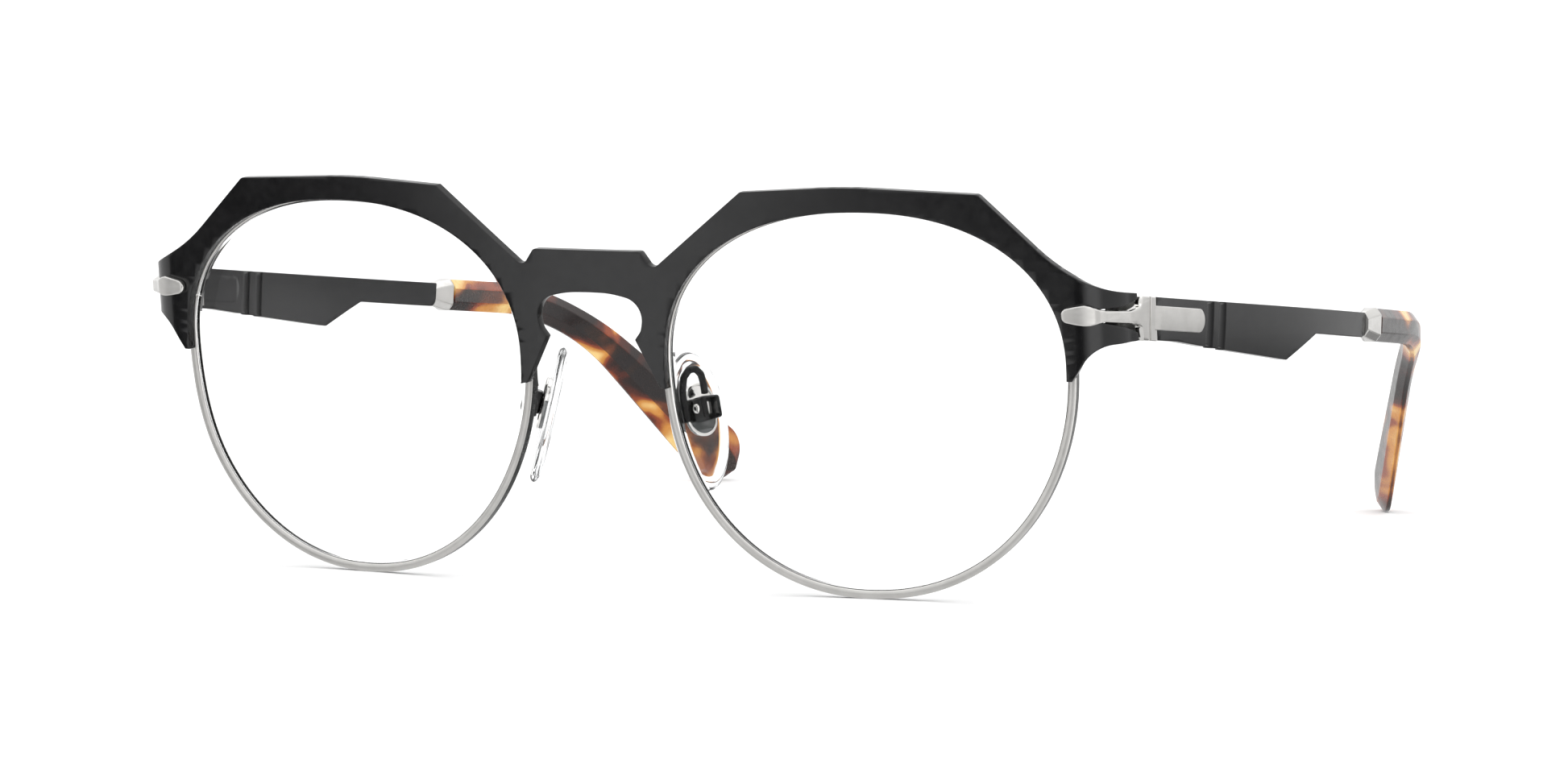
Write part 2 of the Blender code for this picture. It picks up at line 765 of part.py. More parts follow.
def temple_arm():
    """Sheet temple with two flex grooves and a fin under it, pocketed for the plaque."""
    end = ARM_END / MM
    start_top, start_bottom = (temple_start(half) / MM for half in (2.7 * MM, -2.7 * MM))
    outline = rounded(
        [
            (start_top, 2.7, 0),
            (end, 2.75, 0),
            (end, -0.55, 1.2),
            (end - 2.6, -0.55, 0),
            (51.8, -0.5, 1.0),
            (42.0, -4.1, 0.6),
            (18.5, -3.1, 12),
            (9.0, -2.6, 10),
            (start_bottom, -2.6, 0),
        ]
    )

    def flex(u):
        near = min(abs(u - groove) for groove in GROOVES) / GROOVE_HALF
        return FLEX_DEPTH * math.sqrt(1 - near * near) if near < 1 else 0.0

    def place(u, v, depth):
        cut = flex(u)
        thickness = TEMPLE_THICKNESS - 2 * cut
        v -= math.copysign(cut, v)
        return temple_point(temple_x(u) - cut - thickness * depth, u, v)

    cuts = strips(6 * MM, 68 * MM, 4 * MM)
    for groove in GROOVES:
        cuts += strips(groove - GROOVE_HALF, groove + GROOVE_HALF, GROOVE_HALF / 2)
    return combined(
        filled_sheet(outline, sorted(cuts), place),
        ("DIFFERENCE", plaque(GAP, MM, -PLAQUE_INSET - GAP)),
    )


def tip_path(distances=(0.0,)):
    """Point and (forward, up, out) axes at each distance along the tip's centreline."""
    lateral = temple_x(TIP_START) - TEMPLE_THICKNESS / 2 + TIP_OUTWARD
    point = temple_point(lateral, TIP_START, TIP_V)
    first_yaw = math.atan((temple_x(ARM_END) - temple_x(TIP_START)) / (TIP_START - ARM_END))
    stations = []
    s = 0.0
    for distance in distances:
        steps = max(1, math.ceil((distance - s) / (0.2 * MM)))
        step = (distance - s) / steps
        for k in range(steps):
            s += step
            bend = (s - DROOP_START) / (DROOP_RADIUS * DROOP)
            droop = TEMPLE_SLOPE + DROOP * min(max(bend, 0.0), 1.0)
            turn = ramp(s, INTURN_START, INTURN_START + INTURN_LENGTH)
            yaw = first_yaw + (INTURN - first_yaw) * turn
            out = Vector((math.cos(yaw), math.sin(yaw), 0.0))
            level = Vector((-math.sin(yaw), math.cos(yaw), 0.0))
            forward = level * math.cos(droop) - Vector((0, 0, math.sin(droop)))
            point += forward * step
        stations.append((point.copy(), forward, out.cross(forward), out))
    return stations


def tip_section(point, up, out, height, thickness, chamfer):
    """Eight corners of a chamfered rectangle across the tip."""
    h, t, c = height / 2, thickness / 2, min(chamfer, height / 2 * 0.6, thickness / 2 * 0.8)
    corners = [(t, h - c), (t - c, h), (c - t, h), (-t, h - c)]
    corners += [(-t, c - h), (c - t, -h), (t - c, -h), (t, c - h)]
    return [point + out * a + up * b for a, b in corners]


def temple_tip():
    """Acetate tip: a chamfered bar that widens to a rounded paddle, bored for the core."""
    low, high = TIP_HEIGHT
    thick, thin = TIP_THICKNESS
    distances = strips(0.0, TIP_LENGTH - TIP_END_RADIUS, TIP_LENGTH / TIP_STATIONS)
    shares = [1.0] * len(distances)
    for k in range(1, 7):
        angle = math.pi / 2 * k / 6
        distances.append(TIP_LENGTH - TIP_END_RADIUS * (1 - math.sin(angle)))
        shares.append(max(math.cos(angle), 0.22))
    rows = []
    for s, share, (point, _, up, out) in zip(distances, shares, tip_path(distances)):
        height = low + (high - low) * ramp(s, 28 * MM, 71 * MM)
        thickness = thick + (thin - thick) * ramp(s, 5 * MM, 40 * MM)
        rows.append(
            tip_section(
                point, up, out, height * share, thickness * (0.6 + 0.4 * share), TIP_CHAMFER
            )
        )
    start, forward, _, _ = tip_path()[0]
    bore = cylinder(
        start - forward * MM, start + forward * (CORE_REACH + GAP), CORE_RADIUS + 0.25 * MM, 16
    )
    return combined(skin(rows), ("DIFFERENCE", bore))


def on_tip_axis(bm):
    """Moves a shape made along +Z from the origin to the start of the tip's centreline."""
    start, forward, up, out = tip_path()[0]
    turn = Matrix((up, -out, forward)).transposed().to_4x4()
    bmesh.ops.transform(bm, matrix=Matrix.Translation(start) @ turn, verts=bm.verts)
    return bm


def ferrule():
    """Tapered metal collar between the temple sheet and the acetate tip."""
    start, forward, up, out = tip_path()[0]
    rows = [
        tip_section(start + forward * s * MM, up, out, height * MM, thickness * MM, 0.4 * MM)
        for s, height, thickness in FERRULE_STATIONS
    ]
    bore = cylinder((0, 0, -10 * MM), (0, 0, MM), CORE_RADIUS + 0.1 * MM, 16)
    return combined(skin(rows), ("DIFFERENCE", on_tip_axis(bore)))


def core_wire():
    start = (FERRULE_STATIONS[0][0] + 0.1) * MM
    return mesh_from(on_tip_axis(cylinder((0, 0, start), (0, 0, CORE_REACH), CORE_RADIUS, 12)))


# ---------------------------------------------------------------- nose pads


PAD_OUT = PAD_BACK.cross(PAD_UP).normalized()


def pad_point(back, out, up):
    """Front-frame point from coordinates on the pad: back along it, out from it, and up it."""
    return PAD_CENTRE + PAD_BACK * back + PAD_OUT * out + PAD_UP * up


def on_pad(bm, centre):
    """Moves a shape with X back, Y out and Z up to a place (back, out, up) on the pad."""
    turn = Matrix((PAD_BACK, PAD_OUT, PAD_UP)).transposed().to_4x4()
    place = Matrix.Translation(pad_point(*centre))
    bmesh.ops.transform(bm, matrix=place @ turn, verts=bm.verts)
    return bm


BOX_CENTRE = (0.0, BOX_OUT, INSERT_UP)


def pad_outline(share, out):
    """An egg-shaped ring, a little fuller above the middle than below it."""
    ring = []
    for k in range(PAD_SEGMENTS):
        angle = 2 * math.pi * k / PAD_SEGMENTS
        up = math.sin(angle)
        width = PAD_WIDTH / 2 * (1 + 0.03 * up)
        ring.append(
            pad_point(width * math.cos(angle) * share, out, PAD_LENGTH / 2 * up * share)
        )
    return ring


def oval_plate(size, grow=0.0):
    """A plate with a round-ended outline in its own XZ plane, size (width, length, depth)."""
    radius = size[0] / 2 + grow
    straight = size[1] / 2 - size[0] / 2
    outline = []
    for k in range(20):
        angle = 2 * math.pi * (k + 0.5) / 20
        lift = math.copysign(straight, math.sin(angle))
        outline.append((radius * math.cos(angle), radius * math.sin(angle) + lift))
    return filled_sheet(outline, [], lambda a, b, depth: Vector((a, (depth - 0.5) * size[2], b)))


def nose_pad():
    half = PAD_THICKNESS / 2
    rings = [(0.35, -half), (0.8, -0.85 * half), (0.96, -0.4 * half), (1.0, 0.0)]
    rings += [(0.97, 0.5 * half), (0.88, 0.9 * half), (0.5, half)]
    seat_depth = half - 0.35 * MM - GAP
    seat_size = (INSERT_SIZE[0], INSERT_SIZE[1], 2 * MM)
    seat = on_pad(oval_plate(seat_size, GAP), (0, seat_depth + MM, INSERT_UP))
    return combined(skin([pad_outline(*ring) for ring in rings]), ("DIFFERENCE", seat))


def pad_insert():
    """Metal plate sunk in the pad, with the lug that the box screw holds."""
    out = PAD_THICKNESS / 2 - 0.35 * MM + INSERT_SIZE[2] / 2
    plate = on_pad(oval_plate(INSERT_SIZE), (0, out, INSERT_UP))
    lug_end = BOX_OUT + 0.35 * MM
    lug_size = (LUG_THICKNESS, lug_end - out, 1.5 * MM)
    lug = on_pad(box(lug_size), (0, (out + lug_end) / 2, INSERT_UP))
    tip = cylinder(
        pad_point(-LUG_THICKNESS / 2, *BOX_CENTRE[1:]),
        pad_point(LUG_THICKNESS / 2, *BOX_CENTRE[1:]),
        0.9 * MM,
        16,
    )
    hole = cylinder(
        pad_point(-2 * MM, *BOX_CENTRE[1:]),
        pad_point(2 * MM, *BOX_CENTRE[1:]),
        PAD_SCREW_RADIUS + 0.2 * MM,
        12,
    )
    return combined(plate, ("UNION", lug), ("UNION", tip), ("DIFFERENCE", hole))


def pad_box():
    """Box around the lug, open towards the pad and below, with a cross hole for the screw."""
    room_size = (LUG_THICKNESS + 2 * GAP, 3 * MM, 5 * MM)
    room_centre = (0, BOX_OUT + 1.35 * MM - room_size[1] / 2, INSERT_UP - 1.2 * MM)
    bore = cylinder(
        pad_point(-3 * MM, *BOX_CENTRE[1:]),
        pad_point(3 * MM, *BOX_CENTRE[1:]),
        PAD_SCREW_RADIUS + 0.2 * MM,
        12,
    )
    return combined(
        on_pad(box(BOX_SIZE, bevel=0.25 * MM), BOX_CENTRE),
        ("DIFFERENCE", on_pad(box(room_size), room_centre)),
        ("DIFFERENCE", bore),
    )


def pad_screw():
    half = BOX_SIZE[0] / 2
    shank = cylinder(
        pad_point(-half - 0.2 * MM, *BOX_CENTRE[1:]),
        pad_point(half, *BOX_CENTRE[1:]),
        PAD_SCREW_RADIUS,
        12,
    )
    head = cylinder(
        pad_point(-half - 0.6 * MM, *BOX_CENTRE[1:]),
        pad_point(-half - 0.15 * MM, *BOX_CENTRE[1:]),
        0.62 * MM,
        16,
    )
    return combined(head, ("UNION", shank))


def pad_arm():
    """Looped wire from the rim's back, up and over to the top of the pad box."""
    curve = bpy.data.curves.new("arm", "CURVE")
    curve.dimensions = "3D"
    curve.bevel_depth = ARM_WIRE_RADIUS
    curve.bevel_resolution = 2
    curve.use_fill_caps = True
    curve.resolution_u = 3
    spline = curve.splines.new("NURBS")
    spline.order_u = 4
    spline.use_endpoint_u = True
    spline.points.add(len(ARM_ROUTE) - 1)
    for point, place in zip(spline.points, ARM_ROUTE):
        point.co = (*(Vector(place) * MM), 1.0)
    holder = bpy.data.objects.new("arm", curve)
    bpy.context.scene.collection.objects.link(holder)
    bm = bmesh.new()
    bm.from_mesh(evaluated_mesh(holder))
    bpy.data.objects.remove(holder)
    return mesh_from(bm)


# ---------------------------------------------------------------- assembly


def build_side(word, side):
    temple = add_pivot(f"temple_hinge_{word}", (HINGE_X, HINGE_Y, HINGE_Z), side)
    pad = add_pivot(f"pad_rock_{word}", pad_point(*BOX_CENTRE), side)
    pieces = [
        ("rim", rim(), NICKEL, None),
        ("lens", lens(), LENS_CLEAR, None),
        ("rim_lock_upper", rim_lock(1), STEEL, None),
        ("rim_lock_lower", rim_lock(-1), STEEL, None),
        ("rim_lock_screw", rim_lock_screw(), STEEL, None),
        ("hinge_strap", hinge_strap(), NICKEL, None),
        ("hinge_front_leaf", hinge_front_leaf(), STEEL, None),
        ("hinge_screw", hinge_screw(), STEEL, None),
        ("pad_arm", pad_arm(), SATIN_BLACK, None),
        ("pad_box", pad_box(), SATIN_BLACK, None),
        ("pad_screw", pad_screw(), STEEL, None),
        ("nose_pad", nose_pad(), CLEAR, pad),
        ("pad_insert", pad_insert(), NICKEL, pad),
        ("hinge_temple_leaf", hinge_temple_leaf(), NICKEL, temple),
        ("temple_arm", temple_arm(), SATIN_BLACK, temple),
        ("ferrule", ferrule(), NICKEL, temple),
        ("core_wire", core_wire(), STEEL, temple),
        ("temple_tip", temple_tip(), HAVANA, temple),
    ]
    for name, mesh, look, pivot in pieces:
        add_part(f"{name}_{word}", mesh, look, side, pivot)


def all_points():
    bpy.context.view_layer.update()
    return [
        obj.matrix_world @ vert.co
        for obj in GLASSES.objects
        if obj.type == "MESH"
        for vert in obj.data.vertices
    ]


def stand_on_table():
    """Tilts the root so that rims and tips share z = 0, and centres the footprint on it."""
    points = all_points()
    foot = min((p for p in points if p.y < 20 * MM), key=lambda p: p.z)
    pitch = 0.0
    for _ in range(3):
        behind = [p for p in points if p.y > 100 * MM]
        heel = max(behind, key=lambda p: math.atan2(foot.z - p.z, p.y - foot.y))
        pitch = math.atan2(foot.z - heel.z, heel.y - foot.y)
        level = Vector((0, math.sin(pitch), math.cos(pitch)))
        foot = min((p for p in points if p.y < 20 * MM), key=lambda p: p.dot(level))
    ROOT.rotation_euler.x = pitch
    points = all_points()
    low_y, high_y = min(p.y for p in points), max(p.y for p in points)
    ROOT.location = (0, -(low_y + high_y) / 2, -min(p.z for p in points))


clear_scene()
GLASSES = new_collection("browline_eyeglasses")
CUTTERS = new_collection("cutters")
ROOT = bpy.data.objects.new("front_frame", None)
ROOT.empty_display_size = 10 * MM
GLASSES.objects.link(ROOT)

add_part("front_plate", front_plate(), SATIN_BLACK)
for side_word, side_sign in (("left", 1), ("right", -1)):
    build_side(side_word, side_sign)
stand_on_table()
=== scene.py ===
"""Looks of the browline eyeglasses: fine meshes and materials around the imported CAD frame.

Shapes are made in millimetres in the front frame that the part is designed in: X to the
wearer's left, Y from the front plate towards the ears, Z up, with the origin on the face of
the bridge. TO_WORLD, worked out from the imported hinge, carries them to the glasses as they
stand on the table. Everything is made for the wearer's left side and mirrored for the right.
"""

import json
import math

import bmesh
import bpy
from mathutils import Matrix, Vector


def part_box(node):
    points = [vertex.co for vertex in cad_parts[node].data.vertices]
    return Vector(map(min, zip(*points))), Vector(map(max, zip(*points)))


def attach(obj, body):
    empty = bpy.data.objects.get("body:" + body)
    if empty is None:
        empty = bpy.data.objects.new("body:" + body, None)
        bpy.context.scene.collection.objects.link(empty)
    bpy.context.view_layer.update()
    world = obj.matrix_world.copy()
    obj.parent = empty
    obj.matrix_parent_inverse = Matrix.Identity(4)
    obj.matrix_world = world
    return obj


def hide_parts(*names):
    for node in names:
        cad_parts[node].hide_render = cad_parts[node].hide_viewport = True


# Front plate, as in the CAD part.
PLATE_THICKNESS = 1.3
BEND_START = 63.0
BEND_RADIUS = 5.9
PLATE_END = 72.0
LIP = 0.5
LIP_LENGTH = 1.3
PLATE_BEVEL = 0.09
INNER_LEG_Z = -12.65
OUTER_LEG_Z = -11.05
# (distance along the face, half height) of the slot round the strap's neck.
SLOT_HALF_HEIGHTS = (
    (65.6, 0.86),
    (66.4, 0.84),
    (67.4, 0.98),
    (69.7, 1.25),
    (71.0, 1.6),
    (PLATE_END, 2.1),
)

# Lens outline and rim.
LENS_CENTRE = (35.9, -9.6)
LENS_HALF_WIDTH = 25.6
LENS_RISE = 19.0
LENS_DROP = 28.0
UPPER_POWER = 2.22
LOWER_POWER = 2.12
PLATE_REVEAL = 0.2
RIM_FRONT = 1.4
RIM_LEAN = 0.5
RIM_WIDTH = 1.1
RIM_DEPTH = 1.3
RIM_SPLIT_Z = -4.1
RIM_SPLIT = 0.5
RIM_INNER_CHAMFER = 0.14
RIM_BACK_CHAMFER = 0.1
RIM_GROOVE = 0.42
LENS_THICKNESS = 1.5
LENS_BULGE = 1.5
# How far the lens's faces and its bevelled edge stand out past the rim's inner edge.
LENS_FACE_REACH = -0.15
LENS_EDGE_REACH = 0.1

# Strap and hinge.
STRAP_START = 61.5
STRAP_NOSE_RADIUS = 0.95
STRAP_THICKNESS = 0.8
STRAP_Z = -2.79
STRAP_LEVEL_END = 64.3
STRAP_FALL = -0.133
STRAP_PROUD = 0.85
STRAP_DIP = 0.6
STRAP_DIP_REACH = (65.3, 66.9)
STRAP_RISE = 67.2
STRAP_FACE = 69.7
HINGE_POINT = Vector((65.6, 14.85, -4.6))
HINGE_TILT = math.radians(6.0)
SEAM = 0.15
BLOCK_HALF_HEIGHT = 2.7
BLOCK_FRONT_Y = 12.35
BLOCK_BACK_Y = 16.9
BLOCK_OUTER_X = 69.25
BLOCK_INNER_X = 68.25
KNUCKLE_REACH = 2.3
BARREL_RADIUS = 1.2
BARREL_BORE = 0.8
BARREL_CHAMFER = 0.12

# Temple.
TEMPLE_SLOPE = math.radians(11.35)
TEMPLE_THICKNESS = 1.3
TEMPLE_SPREAD = 2.0
TEMPLE_WAVE = 100.0
# The outer faces curve back by this much times the height squared.
CROWN = 0.006
ARM_END = 71.7
GROOVES = (18.1, 21.7)
GROOVE_HALF = 1.05
FLEX_DEPTH = 0.32
PLAQUE_START = 1.2
PLAQUE_END = 16.0
PLAQUE_V = 0.15
PLAQUE_HALF_HEIGHT = 1.5
PLAQUE_PROUD = 0.25
PLAQUE_INSET = 0.35
PLAQUE_CROWN = 0.05
PANEL_START = 3.2
PANEL_HALF_HEIGHT = 1.75
PANEL_DEPTH = 0.27
PANEL_SUNK = 0.2
TIP_START = 75.9
TIP_V = 1.22
TIP_OUTWARD = 0.28
TIP_LENGTH = 67.6
TIP_END_RADIUS = 4.6
TIP_THICKNESS = (3.0, 2.1)
TIP_HEIGHT = (4.4, 9.2)
TIP_WIDENING = (28, 71)
TIP_THINNING = (5, 40)
TIP_CHAMFER_SHARE = 0.27
TIP_CHAMFER_INSET = 0.85
TIP_END_SHARE = 0.12
DROOP_START = 15.1
DROOP_RADIUS = 41.3
DROOP = math.radians(34.4)
INTURN_START = 10.2
INTURN_LENGTH = 24.4
INTURN = math.radians(30.1)

# Nose pads.
PAD_CENTRE = Vector((10.6, 7.9, -18.2))
PAD_UP = Vector((-0.22, 0.174, 0.962)).normalized()
PAD_BACK = Vector((0.485, 0.873, -0.052)).normalized()
PAD_OUT = PAD_BACK.cross(PAD_UP).normalized()
PAD_TURN = Matrix((PAD_BACK, PAD_OUT, PAD_UP)).transposed()
PAD_LENGTH = 17.6
PAD_WIDTH = 8.4
PAD_THICKNESS = 1.6
INSERT_SIZE = (4.3, 6.6, 0.6)
INSERT_UP = 1.35
BOX_OUT = 2.5
BOX_SIZE = (2.8, 2.5, 2.9)
LUG_THICKNESS = 1.0
LUG_PAST_BOX_MIDDLE = 0.3
ARM_WIRE_RADIUS = 0.46
ARM_ROUTE = (
    (10.95, 4.25, -17.6),
    (10.6, 4.2, -15.6),
    (10.45, 4.25, -13.6),
    (10.6, 4.55, -12.0),
    (11.05, 5.1, -11.15),
    (11.6, 5.85, -11.1),
    (11.95, 6.6, -11.9),
    (12.0, 7.1, -13.2),
    (12.02, 7.3, -14.4),
)

# How finely round shapes are divided.
CORNER_STEPS = 10
END_STEPS = 16
TONGUE_STEPS = 24
ARCH_STEPS = 90
RIM_STEPS = 300
LENS_SIDES = 180
PAD_SIDES = 96
OVAL_SIDES = 48
WIRE_SIDES = 8
LATHE_SIDES = 40
SCREW_SIDES = 36
SECTION_CORNERS = 8
SECTION_COLUMNS = 3 * SECTION_CORNERS

# A sheet's wall has a normal below the first, and its flat face one above the second.
WALL_NORMAL = 0.35
FLAT_NORMAL = 0.93
SHARP_ANGLE = math.radians(42)
MERGE_DISTANCE = 0.002

# Camera, in the front frame, with angles in degrees.
CAMERA_AZIMUTH = 26.0
CAMERA_ELEVATION = 10.29
CAMERA_ROLL = -2.73
CAMERA_LENS = 142.55
CAMERA_OFFSET = Vector((-24.44, 13.19, -770.74))

# Studio light: radiance from above and below, the heights that it changes between, and patches
# as (azimuth, elevation, full inside, none outside, radiance), with angles in degrees.
SKY = 1.05
GROUND = 0.8
HORIZON = (-0.35, 0.1)
PATCHES = (
    (0, 90, 10, 65, 1.7),
    (-26, -17, 3, 14, 1.3),
    (1, -15, 10, 13.5, 0.08),
    (-54, -15, 10.5, 14.5, 0.08),
    (38, -12, 8, 22, 1.8),
    (154, -24, 17, 21, 0.3),
)

# Floor and wall, in metres.
FLOOR_HALF_WIDTH = 6.0
FLOOR_FRONT = -5.0
FLOOR_BACK = 2.5
WALL_BEND = 1.5
WALL_TOP = 5.0

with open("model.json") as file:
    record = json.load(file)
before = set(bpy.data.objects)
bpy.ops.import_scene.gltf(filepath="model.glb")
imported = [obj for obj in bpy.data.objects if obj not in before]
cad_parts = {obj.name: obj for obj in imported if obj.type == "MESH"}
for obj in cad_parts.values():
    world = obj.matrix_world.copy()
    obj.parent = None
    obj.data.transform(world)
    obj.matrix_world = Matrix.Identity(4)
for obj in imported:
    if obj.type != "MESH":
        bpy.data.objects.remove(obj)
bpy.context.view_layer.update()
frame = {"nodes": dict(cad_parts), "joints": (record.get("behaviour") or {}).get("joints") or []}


def front_to_world():
    """The CAD part's own tilt and place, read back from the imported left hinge."""
    hinge = next(joint for joint in frame["joints"] if joint["name"] == "temple_fold_left")
    pitch = HINGE_TILT - math.asin(hinge["axis"][1])
    turn = Matrix.Rotation(pitch, 4, "X")
    origin = Vector(hinge["pos_m"]) - turn @ (HINGE_POINT * 0.001)
    return Matrix.Translation(origin) @ turn @ Matrix.Scale(0.001, 4)


TO_WORLD = front_to_world()


# ---------------- curves, as in the CAD part


def ramp(value, start, end):
    share = min(max((value - start) / (end - start), 0.0), 1.0)
    return share * share * (3 - 2 * share)


def strips(start, end, step):
    count = max(1, round((end - start) / step))
    return [start + (end - start) * k / count for k in range(count + 1)]


def circle(sides, shift=0.0):
    return [2 * math.pi * (k + shift) / sides for k in range(sides)]


def arc_corner(before, corner, after, radius):
    corner = Vector(corner)
    to_before = (Vector(before) - corner).normalized()
    to_after = (Vector(after) - corner).normalized()
    half = to_before.angle(to_after) / 2
    reach = radius / math.tan(half)
    middle = corner + (to_before + to_after).normalized() * radius / math.sin(half)
    start = corner + to_before * reach - middle
    sweep = (corner + to_after * reach - middle).angle_signed(start)
    turns = [sweep * k / CORNER_STEPS for k in range(CORNER_STEPS + 1)]
    return [middle + Matrix.Rotation(turn, 2) @ start for turn in turns]


def rounded(corners):
    """A polyline through (a, b, radius) corners. Radius 0 is a sharp corner."""
    points = []
    for i, (a, b, radius) in enumerate(corners):
        if radius and 0 < i < len(corners) - 1:
            arc = arc_corner(corners[i - 1][:2], (a, b), corners[i + 1][:2], radius)
            points += [(p.x, p.y) for p in arc]
        else:
            points.append((a, b))
    return points


def bow(x):
    """How far back the front's face lies at x, up to the bend."""
    return 2.04e-3 * x**2 - 1.402e-7 * x**4


def face_slope(x):
    return math.atan(4.08e-3 * x - 5.608e-7 * x**3)


def wrapped_length(y):
    """Distance along the face to the point of the end-piece that lies at y."""
    slope = face_slope(BEND_START)
    bend_end = bow(BEND_START) + BEND_RADIUS * math.cos(slope)
    return BEND_START + BEND_RADIUS * (math.pi / 2 - slope) + y - bend_end


def wrap(s, z, depth):
    """Point at distance s along the front's face, height z, and depth behind the face."""
    out = math.copysign(1.0, s)
    s = abs(s)
    if s <= BEND_START:
        slope = face_slope(s)
        return Vector((out * (s - depth * math.sin(slope)), bow(s) + depth * math.cos(slope), z))
    slope = face_slope(BEND_START)
    full_turn = math.pi / 2 - slope
    heading = slope + min((s - BEND_START) / BEND_RADIUS, full_turn)
    radius = BEND_RADIUS - depth
    x = BEND_START - BEND_RADIUS * math.sin(slope) + radius * math.sin(heading)
    y = bow(BEND_START) + BEND_RADIUS * math.cos(slope) - radius * math.cos(heading)
    y += max(0.0, s - BEND_START - BEND_RADIUS * full_turn)
    return Vector((out * x, y, z))


def lens_point(angle, offset):
    """(x, z) on the lens outline at an angle, moved out by offset."""
    c, s = math.cos(angle), math.sin(angle)
    power = UPPER_POWER if s > 0 else LOWER_POWER
    height = LENS_RISE if s > 0 else LENS_DROP
    x = math.copysign(abs(c) ** (2 / power), c)
    z = math.copysign(abs(s) ** (2 / power), s)
    normal_x = math.copysign(abs(x) ** (power - 1), x) / LENS_HALF_WIDTH
    normal_z = math.copysign(abs(z) ** (power - 1), z) / height
    length = math.hypot(normal_x, normal_z)
    return (
        LENS_CENTRE[0] + LENS_HALF_WIDTH * x + offset * normal_x / length,
        LENS_CENTRE[1] + height * z + offset * normal_z / length,
    )


def lens_angle(z, offset, temporal):
    """The angle at which the outline passes height z, on its temporal or nasal side."""
    low, high = (-1.4, 1.4)
    for _ in range(40):
        middle = (low + high) / 2
        if lens_point(middle, offset)[1] < z:
            low = middle
        else:
            high = middle
    return low if temporal else math.pi - low


def rim_lean(z):
    return RIM_LEAN * ramp(-z, 12, 26)


def strap_z(s):
    return STRAP_Z + STRAP_FALL * max(0.0, s - STRAP_LEVEL_END)


def block_z(y, half):
    """Height of the hinge block's edge, half above the temple's centreline."""
    fall = (y - HINGE_POINT.y) * math.tan(TEMPLE_SLOPE)
    return HINGE_POINT.z + half / math.cos(TEMPLE_SLOPE) - fall


def seam_point(half, side):
    """(y, z) where the seam through the block meets its edge, on the temple's side if side is 1."""
    tilt, slope = math.tan(HINGE_TILT), math.tan(TEMPLE_SLOPE)
    rise = half / math.cos(TEMPLE_SLOPE) - side * SEAM * slope
    z = rise / (1 + tilt * slope)
    return HINGE_POINT.y + side * SEAM + z * tilt, HINGE_POINT.z + z


def hinge_axis(z):
    return HINGE_POINT + Vector((0, z * math.sin(HINGE_TILT), z * math.cos(HINGE_TILT)))


def temple_x(u):
    return BLOCK_OUTER_X + TEMPLE_SPREAD * math.sin(math.pi * u / TEMPLE_WAVE) ** 2


def temple_start(v):
    behind = BLOCK_BACK_Y + 0.08 - HINGE_POINT.y
    return (behind - v * math.sin(TEMPLE_SLOPE)) / math.cos(TEMPLE_SLOPE)


def temple_point(x, u, v):
    """Point at x, u along the temple from the hinge and v above its centreline."""
    along, up = math.cos(TEMPLE_SLOPE), math.sin(TEMPLE_SLOPE)
    return Vector((x, HINGE_POINT.y + u * along + v * up, HINGE_POINT.z - u * up + v * along))


def tip_path(distances=(0.0,)):
    """Point and (forward, up, out) axes at each distance along the tip's centreline."""
    lateral = temple_x(TIP_START) - TEMPLE_THICKNESS / 2 + TIP_OUTWARD
    point = temple_point(lateral, TIP_START, TIP_V)
    first_yaw = math.atan((temple_x(ARM_END) - temple_x(TIP_START)) / (TIP_START - ARM_END))
    stations = []
    s = 0.0
    for distance in distances:
        steps = max(1, math.ceil((distance - s) / 0.2))
        step = (distance - s) / steps
        for _ in range(steps):
            s += step
            bend = (s - DROOP_START) / (DROOP_RADIUS * DROOP)
            droop = TEMPLE_SLOPE + DROOP * min(max(bend, 0.0), 1.0)
            turn = ramp(s, INTURN_START, INTURN_START + INTURN_LENGTH)
            yaw = first_yaw + (INTURN - first_yaw) * turn
            out = Vector((math.cos(yaw), math.sin(yaw), 0.0))
            level = Vector((-math.sin(yaw), math.cos(yaw), 0.0))
            forward = level * math.cos(droop) - Vector((0, 0, math.sin(droop)))
            point += forward * step
        stations.append((point.copy(), forward, out.cross(forward), out))
    return stations


def pad_point(back, out, up):
    return PAD_CENTRE + PAD_BACK * back + PAD_OUT * out + PAD_UP * up


# ---------------- mesh helpers


def in_scene(name, data):
    obj = bpy.data.objects.new(name, data)
    bpy.context.scene.collection.objects.link(obj)
    return obj


def smooth_mesh(bm):
    mesh = bpy.data.meshes.new("shape")
    bm.to_mesh(mesh)
    bm.free()
    mesh.shade_smooth()
    return mesh


def finished(bm):
    """A smooth-shaded mesh from bm, with coinciding points merged and its normals outwards."""
    bmesh.ops.remove_doubles(bm, verts=bm.verts, dist=MERGE_DISTANCE)
    bmesh.ops.recalc_face_normals(bm, faces=bm.faces)
    return smooth_mesh(bm)


def evaluated(obj):
    graph = bpy.context.evaluated_depsgraph_get()
    graph.update()
    return bpy.data.meshes.new_from_object(obj.evaluated_get(graph))


def final_shape(obj):
    """A bmesh of the object as it ends up. The object is removed."""
    bm = bmesh.new()
    bm.from_mesh(evaluated(obj))
    bpy.data.objects.remove(obj)
    return bm


def skin(rows, closed=False, paint=None):
    """A bmesh through rows of points. paint gives the material index of each column."""
    bm = bmesh.new()
    loops = [[bm.verts.new(point) for point in row] for row in rows]
    pairs = list(zip(loops, loops[1:] + loops[:1])) if closed else list(zip(loops, loops[1:]))
    for first, second in pairs:
        for i, vert in enumerate(first):
            j = (i + 1) % len(first)
            face = bm.faces.new((vert, first[j], second[j], second[i]))
            face.material_index = paint[i] if paint else 0
    if not closed:
        bm.faces.new(loops[0][::-1])
        bm.faces.new(loops[-1])
    return bm


